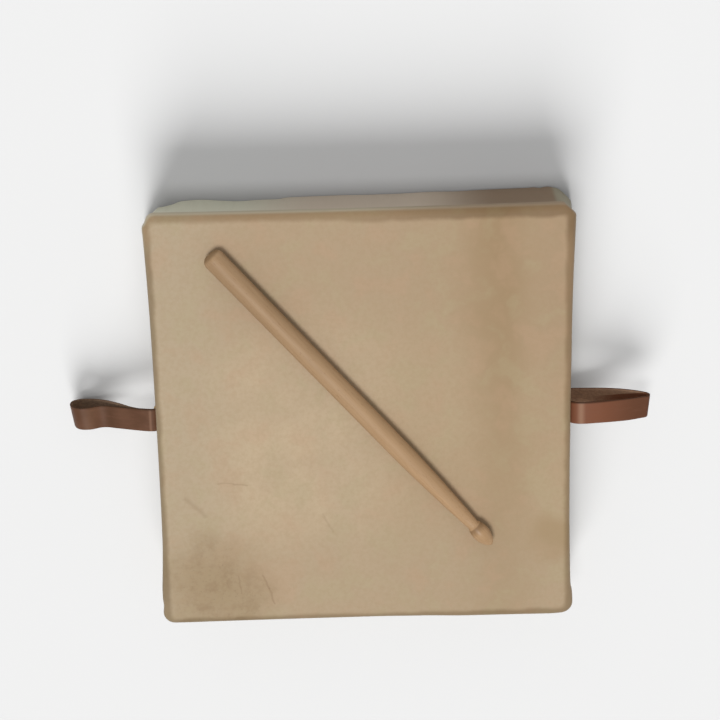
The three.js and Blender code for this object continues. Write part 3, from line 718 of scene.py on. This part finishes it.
RAWHIDE = rawhide()
RAWHIDE_INSIDE = rawhide_inside()
LEATHER = [strap_leather(), strap_flesh_side(), strap_cut_edge()]
BEECH = beech()
PINE_ALONG_X = pine("pine_planed_along_x", 0)
PINE_ALONG_Y = pine("pine_planed_along_y", QUARTER_TURN)
STEEL = worn_metal("steel_dulled", "#a3a4a2", "#6d6b66", 0.32)
BRASS = worn_metal("brass_antiqued", "#b08c4c", "#6b5128", 0.3)


# Stage: a plain pale floor under soft light

# The key light stands high on the near left, a weak one behind the drum, and the fill comes from all sides.
# One more light falls on the floor alone and draws the drum's shadow there.

FLOOR_SIZE = 12.0
FILL_STRENGTH = 0.4
BACK_LIGHT_FROM = Vector((-0.3, 0.94, 0.12))
BACK_LIGHT_EDGE, BACK_LIGHT_HEART = 0.7, 0.98  # cosines of the angles where it starts and is full
BACK_LIGHT_STRENGTH = 0.5
KEY_LIGHT_FROM = Vector((-0.13, -0.116, 0.985))
KEY_LIGHT_WIDTH = math.radians(20)
KEY_LIGHT_STRENGTH = 1.86
FLOOR_LIGHT_FROM = Vector((-0.1, -0.81, 0.56))
FLOOR_LIGHT_WIDTH = math.radians(40)
FLOOR_LIGHT_STRENGTH = 9.25
FLOOR_GREY = 0.3  # linear; with its own light and glow the floor shows as pale as the backdrop
FLOOR_GLOW = 0.08
BACKDROP = 0.888  # the pale backdrop, as a linear grey

CAMERA_PLACE = Vector((-11.06, 493.82, 1546.18)) * MM
CAMERA_TILT = math.radians(16.53)
CAMERA_SIDE_TILT = math.radians(0.37)
CAMERA_ROLL = math.radians(1.52)
CAMERA_LENS = 95.0
CAMERA_SENSOR = 36.0


def far_lamp(name, light_from, width, strength):
    """A lamp so far away that its light is parallel, as wide as an angle in the sky."""
    lamp = bpy.data.lights.new(name, "SUN")
    lamp.energy = strength
    lamp.angle = width
    lamp_object = bpy.data.objects.new(name, lamp)
    lamp_object.rotation_euler = (-light_from).to_track_quat("-Z", "Y").to_euler()
    bpy.context.scene.collection.objects.link(lamp_object)
    return lamp_object


def floor():
    bpy.ops.mesh.primitive_plane_add(size=FLOOR_SIZE, location=ORIGIN)
    plane = bpy.context.object
    plane.name = "floor"
    material, tree, shader = new_material("floor_matt_paint")
    fill(tree, shader, {
        "Base Color": (FLOOR_GREY, FLOOR_GREY, FLOOR_GREY, 1),
        "Roughness": 1.0,
        "Specular IOR Level": 0.0,
        "Emission Color": WHITE,
        "Emission Strength": FLOOR_GLOW,
    })
    from_below = add(tree, "NewGeometry", output="Backfacing")
    clear = add(tree, "BsdfTransparent")
    shown = add(tree, "MixShader", {0: from_below, 1: shader.outputs[0], 2: clear})
    fill(tree, tree.nodes["Material Output"], {"Surface": shown})
    dress(plane, material)
    bpy.ops.object.select_all(action="DESELECT")
    lit = bpy.data.collections.new("lit_by_floor_light")
    lit.objects.link(plane)
    floor_light = far_lamp("floor_light", FLOOR_LIGHT_FROM, FLOOR_LIGHT_WIDTH, FLOOR_LIGHT_STRENGTH)
    floor_light.light_linking.receiver_collection = lit


def sky():
    world = bpy.data.worlds.new("soft_light")
    bpy.context.scene.world = world
    world.use_nodes = True
    tree = world.node_tree
    tree.nodes.clear()
    values = {0: add(tree, "TexCoord", output="Generated"), 1: BACK_LIGHT_FROM.normalized()}
    facing = add(tree, "VectorMath", values, "Value", operation="DOT_PRODUCT")
    behind = fade(tree, (facing, BACK_LIGHT_EDGE, BACK_LIGHT_HEART, 0, BACK_LIGHT_STRENGTH))
    level = add(tree, "Math", {0: behind, 1: FILL_STRENGTH}, operation="ADD")
    light = add(tree, "Background", {"Color": WHITE, "Strength": level})
    seen = add(tree, "Background", {"Color": (BACKDROP, BACKDROP, BACKDROP, 1), "Strength": 1.0})
    looked_at = add(tree, "LightPath", output="Is Camera Ray")
    shown = add(tree, "MixShader", {0: looked_at, 1: light, 2: seen})
    fill(tree, tree.nodes.new("ShaderNodeOutputWorld"), {"Surface": shown})


def camera():
    lens = bpy.data.cameras.new("camera")
    lens.lens = CAMERA_LENS
    lens.sensor_width = CAMERA_SENSOR
    eye = bpy.data.objects.new("camera", lens)
    turn = Matrix.Rotation(CAMERA_ROLL, 3, "Z") @ Matrix.Rotation(CAMERA_TILT, 3, "X")
    turn = turn @ Matrix.Rotation(CAMERA_SIDE_TILT, 3, "Y")
    eye.matrix_world = Matrix.Translation(CAMERA_PLACE) @ turn.transposed().to_4x4()
    bpy.context.scene.collection.objects.link(eye)
    bpy.context.scene.camera = eye


camera()
floor()
sky()
far_lamp("key_light", KEY_LIGHT_FROM, KEY_LIGHT_WIDTH, KEY_LIGHT_STRENGTH)
bpy.context.scene.view_settings.view_transform = "Standard"


# Hide head: one piece of hide, over the rim, down the walls and up inside the frame


def cut_places(half):
    """Places across the head where its mesh is cut: close together at the corners."""
    places = []
    for i in range(1, CORNER_CELLS + 1):
        places.append(half - LIP_CORNER_RADIUS * i / CORNER_CELLS)
    for i in range(1, PLEAT_CELLS + 1):
        places.append(half - LIP_CORNER_RADIUS - PLEAT_SPAN * i / PLEAT_CELLS)
    middle = half - LIP_CORNER_RADIUS - PLEAT_SPAN
    evenly = [middle * (2 * i / MIDDLE_CELLS - 1) for i in range(1, MIDDLE_CELLS)]
    return places + [-place for place in places] + evenly


def rounded_corner(point, half_x, half_y):
    """Bends the square corners of the flat head to arcs."""
    radius = LIP_CORNER_RADIUS
    u = (abs(point.x) - half_x + radius) / radius
    v = (abs(point.y) - half_y + radius) / radius
    if u <= 0 or v <= 0:
        return point
    x = half_x - radius + radius * u * math.sqrt(1 - v * v / 2)
    y = half_y - radius + radius * v * math.sqrt(1 - u * u / 2)
    return Vector((math.copysign(x, point.x), math.copysign(y, point.y), point.z))


def pleats(along, half, z, phase):
    """Soft ridges that fan out from a corner of the wall towards its rear, in millimetres."""
    from_corner = (half - abs(along)) / MM
    low = smooth(1, PLEATS_FULL, z / WAIST_Z)
    turns = (from_corner - PLEAT_SLANT * low) / PLEAT_PITCH
    shown = smooth(*PLEAT_RISE, from_corner) * smooth(*PLEAT_FALL, from_corner)
    return PLEAT_HEIGHT * low * shown * math.sin(turns * 2 * math.pi + phase)


def cut_corner(point, reach):
    """Draws a point in so that it stays within a corner's reach."""
    over = abs(point.x) + abs(point.y) - reach
    if over < -CORNER_CUT_WIDTH:
        return
    if over < CORNER_CUT_WIDTH:
        over = (over + CORNER_CUT_WIDTH) ** 2 / (4 * CORNER_CUT_WIDTH)
    point.x -= math.copysign(over / 2, point.x)
    point.y -= math.copysign(over / 2, point.y)


def hide_shape(point):
    """Where a point of the plainly drawn hide lies once it is stretched over the frame."""
    x, y, z = point
    share_x, share_y = x / LIP_HALF_X, y / LIP_HALF_Y
    outer = smooth(FACE_START, LIP_FULL, max(abs(share_x), abs(share_y)))
    swelling = max(outer, smooth(SWELL_START, SWELL_FULL, z / DRUM_DEPTH))
    moved = point.copy()
    moved.x += swelling * share_x * CORNER_SWELL_X * abs(share_y) ** SWELL_POWER
    moved.y += swelling * share_y * CORNER_SWELL_Y * abs(share_x) ** SWELL_POWER
    if outer <= 0:
        return moved
    out_x = math.copysign(smooth(FACE_START, WALL_FULL, abs(share_x)), x)
    out_y = math.copysign(smooth(FACE_START, WALL_FULL, abs(share_y)), y)
    lip = smooth(WAIST_Z, DRUM_DEPTH - LIP_DEPTH, z)
    low = smooth(1, 0, z / WAIST_Z)
    side_lip = LEFT_LIP if x < 0 else RIGHT_LIP
    drift = noise.noise(Vector((x, y, z * 2)) / HOLLOW_WIDTH) * HOLLOW_DEPTH
    drift += noise.noise(point / DENT_WIDTH) * DENT_DEPTH
    drift *= DRIFT_AT_WAIST + (1 - DRIFT_AT_WAIST) * low
    wall_x = drift + pleats(y, LIP_HALF_Y, z, out_x + 2 * out_y)
    wall_y = drift + pleats(x, LIP_HALF_X, z, 3 * out_x + out_y)
    wall_x += low * follow(SIDE_HEM, y / MM)
    if y > 0:
        wall_y += low * follow(FAR_HEM, x / MM)
    near_lip = follow(NEAR_LIP, x / MM) if y < 0 else 0
    moved.x += out_x * (lip * follow(side_lip, y / MM) + (1 - lip) * wall_x) * MM
    moved.y += out_y * (lip * near_lip + (1 - lip) * wall_y) * MM
    corner = ("far" if y > 0 else "near", "left" if x < 0 else "right")
    lip_reach, hem_reach = CORNER_REACH[corner]
    waist_reach = lip_reach - WAIST_DEPTH
    wall_reach = waist_reach + (hem_reach - waist_reach) * low
    cut_corner(moved, wall_reach + (lip_reach - wall_reach) * lip)
    return moved


def hem_shape(point):
    """The turned-up hem, whose edge rises and falls."""
    x, y, z = point
    if z > HEM_HEIGHT or max(abs(x) - HEM_HALF_X, abs(y) - HEM_HALF_Y) > HEM_MARGIN:
        return point
    moved = point.copy()
    rise = smooth(HEM_WAVE_FROM, 1, z / HEM_HEIGHT)
    moved.z += rise * HEM_WAVE * noise.noise(Vector((x, y, 0)) / HEM_WAVE_LENGTH)
    return moved


class Rings:
    """Draws the hide out from its edge, ring by ring."""

    def __init__(self, half_x, half_y, z):
        self.half_x, self.half_y, self.z = half_x, half_y, z

    def to(self, half_x, half_y, z):
        bpy.ops.mesh.extrude_edges_move(TRANSFORM_OT_translate={"value": (0, 0, z - self.z)})
        scale = (half_x / self.half_x, half_y / self.half_y, 1)
        bpy.ops.transform.resize(value=scale, center_override=ORIGIN)
        self.half_x, self.half_y, self.z = half_x, half_y, z

    def back_from_lip(self, setback, z):
        self.to(LIP_HALF_X - setback, LIP_HALF_Y - setback, z)


def hide_head():
    face_x, face_y = LIP_HALF_X - LIP_EDGE_RADIUS, LIP_HALF_Y - LIP_EDGE_RADIUS
    bpy.ops.mesh.primitive_plane_add(size=2, location=(0, 0, DRUM_DEPTH))
    hide = bpy.context.object
    hide.scale = (face_x, face_y, 1)
    settle()
    edit()
    for axis, places in enumerate((cut_places(face_x) + FAR_FOLD_LINES, cut_places(face_y))):
        for across in places:
            cut, normal = [0, 0, DRUM_DEPTH], [0, 0, 0]
            cut[axis], normal[axis] = across, 1
            bpy.ops.mesh.select_all(action="SELECT")
            bpy.ops.mesh.bisect(plane_co=cut, plane_no=normal)
    leave_edit()
    sculpt(hide, lambda point: rounded_corner(point, face_x, face_y))
    edit()
    pick("edges", lambda edge: edge.is_boundary)
    rings = Rings(face_x, face_y, DRUM_DEPTH)
    for i in range(1, EDGE_STEPS + 1):
        angle = QUARTER_TURN * i / EDGE_STEPS
        setback = LIP_EDGE_RADIUS * (1 - math.sin(angle))
        rings.back_from_lip(setback, DRUM_DEPTH - LIP_EDGE_RADIUS * (1 - math.cos(angle)))
    rings.back_from_lip(0, DRUM_DEPTH - (LIP_EDGE_RADIUS + LIP_DEPTH) / 2)
    rings.back_from_lip(0, DRUM_DEPTH - LIP_DEPTH)
    for back, down in UNDERCUT_SHARES:
        rings.back_from_lip(back * WAIST_DEPTH, DRUM_DEPTH - LIP_DEPTH - down * LIP_UNDERCUT)
    for share in WALL_SHARES:
        rings.back_from_lip(wall_setback(share * WAIST_Z), share * WAIST_Z)
    for back, up in HEM_TURN_SHARES:
        rings.back_from_lip(wall_setback(0) + back * HEM_EDGE_RADIUS, up * HEM_EDGE_RADIUS)
    for out, up in HEM_BEND_SHARES:
        rings.to(HEM_HALF_X + out * HEM_BEND, HEM_HALF_Y + out * HEM_BEND, up * HEM_BEND)
    for share in HEM_SHARES:
        rings.to(HEM_HALF_X, HEM_HALF_Y, share * HEM_HEIGHT)
    leave_edit()
    sculpt(hide, hide_shape)
    sculpt(hide, hem_shape)
    turn_outwards(hide)
    dress(hide, RAWHIDE, RAWHIDE_INSIDE)
    modify(hide, "SOLIDIFY", thickness=HIDE_THICKNESS, offset=-1, material_offset=1, material_offset_rim=1)
    modify(hide, "SUBSURF", levels=1, render_levels=1)
    bpy.ops.object.shade_smooth()
    carry(hide, "hide_skin", "drum", ["hide_head"])


# Wooden frame: the CAD pieces with their edges eased

EASED_EDGE = 0.7 * MM
LONG_EDGE = 8.5 * MM  # shorter edges belong to the holes and the eased corners
EDGE_SEGMENTS = 2
SHARP_ANGLE = math.radians(50)
FLAT_ANGLE = math.radians(1)
SAME_POINT = 0.01 * MM
WOOD_SMOOTH_BELOW = math.radians(30)


def eased_wood(node, material):
    wood = frame["nodes"][node].copy()
    wood.data = frame["nodes"][node].data.copy()
    wood.parent = None
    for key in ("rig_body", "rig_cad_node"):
        del wood[key]
    bpy.context.scene.collection.objects.link(wood)
    wood.select_set(True)
    bpy.context.view_layer.objects.active = wood
    dress(wood, material)
    edit()
    bpy.ops.mesh.select_all(action="SELECT")
    bpy.ops.mesh.remove_doubles(threshold=SAME_POINT)
    bpy.ops.mesh.dissolve_limited(angle_limit=FLAT_ANGLE)
    pick("edges", lambda edge: edge.calc_length() > LONG_EDGE and edge.calc_face_angle(0) > SHARP_ANGLE)
    bpy.ops.mesh.bevel(offset=EASED_EDGE, segments=EDGE_SEGMENTS)
    leave_edit()
    bpy.ops.object.shade_smooth_by_angle(angle=WOOD_SMOOTH_BELOW)
    carry(wood, f"{node}_wood", "drum", [node])


def wooden_frame():
    for side in ("right", "left"):
        eased_wood(f"frame_board_{side}", PINE_ALONG_Y)
        eased_wood(f"lip_strip_{side}", PINE_ALONG_Y)
    for side in ("far", "near"):
        eased_wood(f"frame_board_{side}", PINE_ALONG_X)
        eased_wood(f"lip_strip_{side}", PINE_ALONG_X)
        for other in ("left", "right"):
            eased_wood(f"corner_block_{side}_{other}", PINE_ALONG_X)


# Tacks: a domed head on a round shank

DOME_SEGMENTS = 24
DOME_RINGS = 12
SHANK_RADIUS = 0.9 * MM
SHANK_STRAIGHT = 0.8  # share of its length before the point
POINT_WIDTH = 0.05  # share of its width
BRIM = 0.25 * MM  # thickness of the head at its edge
HEM_TACK = (4 * MM, 1.8 * MM, STEEL, "steel")  # radius and height of the head, material and slot
STRAP_TACK = (3.6 * MM, 2 * MM, BRASS, "brass")
HEM_TACKS_A_SIDE = 5
METAL_SMOOTH_BELOW = math.radians(40)


def tack(node, outwards, head_radius, head_height, material, slot):
    """A turned tack in place of a CAD one; outwards is the way its head faces."""
    low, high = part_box(node)
    middle = (low + high) / 2
    outer = high if sum(outwards) > 0 else low
    seat = Vector([o if w else m for o, w, m in zip(outer, outwards, middle)])
    seat -= outwards * head_height
    length = sum((high - low) * Vector([abs(w) for w in outwards])) - head_height
    bpy.ops.mesh.primitive_uv_sphere_add(segments=DOME_SEGMENTS, ring_count=DOME_RINGS, radius=head_radius)
    piece = bpy.context.object
    edit()
    bpy.ops.mesh.select_all(action="SELECT")
    bpy.ops.mesh.bisect(plane_co=ORIGIN, plane_no=(0, 0, 1), clear_inner=True)
    bpy.ops.mesh.select_all(action="SELECT")
    dome = (head_height - BRIM) / head_radius
    bpy.ops.transform.resize(value=(1, 1, dome), center_override=ORIGIN)
    bpy.ops.transform.translate(value=(0, 0, BRIM))
    pick("edges", lambda edge: edge.is_boundary)
    bpy.ops.mesh.extrude_edges_move(TRANSFORM_OT_translate={"value": (0, 0, -BRIM)})
    neck, point = SHANK_RADIUS / head_radius, 1 - SHANK_STRAIGHT
    for scale, share in ((neck, 0), (1, SHANK_STRAIGHT), (POINT_WIDTH, point)):
        bpy.ops.mesh.extrude_edges_move(TRANSFORM_OT_translate={"value": (0, 0, -length * share)})
        bpy.ops.transform.resize(value=(scale, scale, 1), center_override=ORIGIN)
    bpy.ops.mesh.merge(type="CENTER")
    leave_edit()
    piece.rotation_euler = outwards.to_track_quat("Z", "Y").to_euler()
    piece.location = seat
    settle()
    bpy.ops.object.shade_smooth_by_angle(angle=METAL_SMOOTH_BELOW)
    dress(piece, material)
    carry(piece, f"{node}_turned", "drum", [node])


def tacks():
    inwards = {"right": (-1, 0, 0), "left": (1, 0, 0), "far": (0, -1, 0), "near": (0, 1, 0)}
    for side, direction in inwards.items():
        for i in range(1, HEM_TACKS_A_SIDE + 1):
            tack(f"hem_tack_{side}_{i}", Vector(direction), *HEM_TACK)
    for i in (1, 2):
        tack(f"left_strap_tack_{i}", Vector((-1, 0, 0)), *STRAP_TACK)
        for height in ("upper", "lower"):
            tack(f"right_strap_{height}_tack_{i}", Vector((1, 0, 0)), *STRAP_TACK)


# Strap handles

STRAP_THICKNESS = 1.8 * MM
STRAP_CELLS = 8
CURVE_CELLS = 6  # from one row of a path to the next
STRAP_SAME_POINT = 0.05 * MM
STRAP_EDGE = 0.4 * MM
STRAP_EDGE_SEGMENTS = 3
STRAP_EDGE_ANGLE = math.radians(60)
LEATHER_SMOOTH_BELOW = math.radians(35)
# The paths run along the middle of the leather, in millimetres: out from the drum's middle, above the ground
# and, where it has drifted towards the far side, how far. LAYER_PITCH and the hinges are in millimetres too.
LAYER_PITCH = 2.1  # from one layer of leather to the next
LEFT_ROOT = (
    (170.8, 17.0), (170.1, 24.0), (170.1, 30.0), (170.8, 33.6), (172.7, 36.2), (176.1, 37.4),
    (181.0, 36.5), (190.8, 33.0),
)
LEFT_EYE = (
    (206.2, 26.9), (219.3, 22.8), (231.6, 28.2), (239.1, 26.8), (243.3, 20.9, 0.2), (244.6, 14.0, 0.4),
    (243.2, 8.0, 0.6), (238.8, 5.2, 0.8), (233.8, 4.8, 1), (221.9, 9.4, 1.6), (213.5, 15.6, 2),
    (204.9, 21.8, 1.5),
)
RIGHT_PATH = (
    (170.2, 28.0), (169.9, 37.5), (171.0, 42.7), (173.5, 46.5), (177.3, 49.0), (182.3, 49.8),
    (195.2, 48.5), (207.3, 45.3, -0.5), (222.6, 40.5, -1), (233.2, 36.9, -0.7), (238, 35.0, -0.4),
    (238.8, 33.2, 0), (237.8, 31.0, 0.5), (233.8, 29.0, 1.1), (222.6, 23.9, 1.7), (207.4, 18.1, 1.6),
    (195.2, 14.0, 0.8), (183.3, 11.2, 0.2),
    (177.7, 10.6), (174.0, 11.2), (171.8, 13.2), (170.9, 16.0), (170.3, 25.5),
)
SLANT_START = 200 * MM
SLANT_FULL = 238 * MM
TIP_SLANT_LEFT = 3 * MM
TIP_SLANT_RIGHT = 2 * MM


def beside(path, distance):
    """The same path, moved to the right of its direction."""
    points = [Vector(p) for p in path]
    moved = []
    for i, point in enumerate(points):
        along = (points[min(i + 1, len(points) - 1)] - points[max(i - 1, 0)]).normalized()
        moved.append((point.x + along.y * distance, point.y - along.x * distance))
    return moved


def slanted_tip(point):
    """Each loop reaches a little farther out at its far edge than at its near one."""
    out = smooth(SLANT_START, SLANT_FULL, abs(point.x))
    across = (point.y - STRAP_MIDDLE_Y) / STRAP_WIDTH
    slant = TIP_SLANT_LEFT if point.x < 0 else -TIP_SLANT_RIGHT
    return point - Vector((out * across * slant, 0, 0))


def strap(name, path, sign, nodes):
    """Leather along a path; sign is -1 on the left side of the drum."""
    bpy.ops.curve.primitive_bezier_curve_add(location=ORIGIN)
    curve = bpy.context.object
    spline = curve.data.splines[0]
    spline.bezier_points.add(len(path) - len(spline.bezier_points))
    for point, (x, z, *drift) in zip(spline.bezier_points, path):
        point.co = (sign * x * MM, STRAP_NEAR_Y + sum(drift) * MM, z * MM)
        point.handle_left_type = point.handle_right_type = "AUTO"
    curve.data.resolution_u = CURVE_CELLS
    bpy.ops.object.convert(target="MESH")
    leather = bpy.context.object
    edit()
    bpy.ops.mesh.select_all(action="SELECT")
    bpy.ops.mesh.remove_doubles(threshold=STRAP_SAME_POINT)
    bpy.ops.mesh.select_all(action="SELECT")
    for _ in range(STRAP_CELLS):
        step = (0, STRAP_WIDTH / STRAP_CELLS, 0)
        bpy.ops.mesh.extrude_region_move(TRANSFORM_OT_translate={"value": step})
    leave_edit()
    turn_outwards(leather)
    dress(leather, *LEATHER)
    modify(leather, "SOLIDIFY", thickness=STRAP_THICKNESS, offset=0, use_even_offset=True,
           material_offset=1, material_offset_rim=2)
    modify(leather, "BEVEL", width=STRAP_EDGE, segments=STRAP_EDGE_SEGMENTS,
           limit_method="ANGLE", angle_limit=STRAP_EDGE_ANGLE)
    bpy.ops.object.shade_smooth_by_angle(angle=LEATHER_SMOOTH_BELOW)
    sculpt(leather, slanted_tip)
    carry(leather, name, None, nodes)
    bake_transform(leather)


def straps():
    left_path = [*LEFT_ROOT, *LEFT_EYE, *reversed(beside(LEFT_ROOT, LAYER_PITCH))]
    left_nodes = ["left_strap_inner_end", "left_strap_outer_end", "left_strap_loop"]
    strap("left_strap_leather", left_path, -1, left_nodes)
    right_nodes = ["right_strap_upper_end", "right_strap_lower_end", "right_strap_loop"]
    strap("right_strap_leather", RIGHT_PATH, 1, right_nodes)


# Drumstick

STICK_MIDDLE_X = -7.5 * MM
STICK_MIDDLE_Y = 19.3 * MM
STICK_RADIUS = (stick_high.z - stick_low.z) / 2
STICK_SIDES = 48
STICK_BUTT_RADIUS = 6.4 * MM
STICK_SHOULDER_RADIUS = 8.5 * MM  # the shank is a little thinner where the taper starts
STICK_TAPER_START = 214 * MM
STICK_NECK_AT = 316.2 * MM
STICK_NECK_RADIUS = 4.9 * MM
STICK_BEAD_RADIUS = 7.2 * MM
STICK_BEAD_WIDEST = 325.8 * MM
STICK_TAPER_POWER = 1.8
STICK_SMOOTH_BELOW = math.radians(50)
BUTT_STEPS = 6
TAPER_STEPS = 10
# The bead's outline, as shares of how far it stands out and how far along it reaches
BEAD_NECK_SHARES = (
    (0.05, 0.02), (0.3, 0.1), (0.52, 0.2), (0.69, 0.34), (0.86, 0.53), (0.96, 0.74), (1, 1),
)
BEAD_TIP_SHARES = (
    (0.985, 0.14), (0.94, 0.28), (0.87, 0.42), (0.76, 0.56), (0.63, 0.7), (0.48, 0.82),
    (0.3, 0.92), (0.14, 0.98),
)


def stick_profile():
    """(radius, distance from the butt) along the stick."""
    rows = [(STICK_RADIUS - STICK_BUTT_RADIUS, 0)]
    for i in range(1, BUTT_STEPS + 1):
        angle = QUARTER_TURN * i / BUTT_STEPS
        out = STICK_RADIUS - STICK_BUTT_RADIUS * (1 - math.sin(angle))
        rows.append((out, STICK_BUTT_RADIUS * (1 - math.cos(angle))))
    for i in range(TAPER_STEPS + 1):
        share = i / TAPER_STEPS
        thinning = (STICK_SHOULDER_RADIUS - STICK_NECK_RADIUS) * share ** STICK_TAPER_POWER
        radius = STICK_SHOULDER_RADIUS - thinning
        rows.append((radius, STICK_TAPER_START + (STICK_NECK_AT - STICK_TAPER_START) * share))
    for out, along in BEAD_NECK_SHARES:
        radius = STICK_NECK_RADIUS + (STICK_BEAD_RADIUS - STICK_NECK_RADIUS) * out
        rows.append((radius, STICK_NECK_AT + (STICK_BEAD_WIDEST - STICK_NECK_AT) * along))
    tip_length = STICK_LENGTH - STICK_BEAD_WIDEST
    for out, along in BEAD_TIP_SHARES:
        rows.append((STICK_BEAD_RADIUS * out, STICK_BEAD_WIDEST + tip_length * along))
    return rows


def drumstick():
    rows = stick_profile()
    radius, along = rows[0]
    bpy.ops.mesh.primitive_circle_add(vertices=STICK_SIDES, radius=radius, fill_type="NGON")
    stick = bpy.context.object
    edit()
    pick("edges", lambda edge: edge.is_boundary)
    for next_radius, next_along in rows[1:]:
        step = (0, 0, next_along - along)
        bpy.ops.mesh.extrude_edges_move(TRANSFORM_OT_translate={"value": step})
        scale = next_radius / radius
        bpy.ops.transform.resize(value=(scale, scale, 1), center_override=(0, 0, next_along))
        radius, along = next_radius, next_along
    bpy.ops.mesh.extrude_edges_move(TRANSFORM_OT_translate={"value": (0, 0, STICK_LENGTH - along)})
    bpy.ops.mesh.merge(type="CENTER")
    bpy.ops.mesh.select_all(action="SELECT")
    bpy.ops.mesh.normals_make_consistent(inside=False)
    bpy.ops.transform.translate(value=(0, 0, -STICK_LENGTH / 2))
    leave_edit()
    angle = math.radians(STICK_DEGREES)
    direction = Vector((math.cos(angle), math.sin(angle), 0))
    stick.rotation_euler = direction.to_track_quat("Z", "Y").to_euler()
    stick.location = (STICK_MIDDLE_X, STICK_MIDDLE_Y, stick_low.z + STICK_RADIUS)
    settle()
    bpy.ops.object.shade_smooth_by_angle(angle=STICK_SMOOTH_BELOW)
    dress(stick, BEECH)
    carry(stick, "drumstick_turned", "stick", ["drumstick"])


hide_head()
wooden_frame()
tacks()
straps()
drumstick()
for name, node in frame["nodes"].items():
    if name.startswith("corner_screw"):
        dress(node, STEEL)
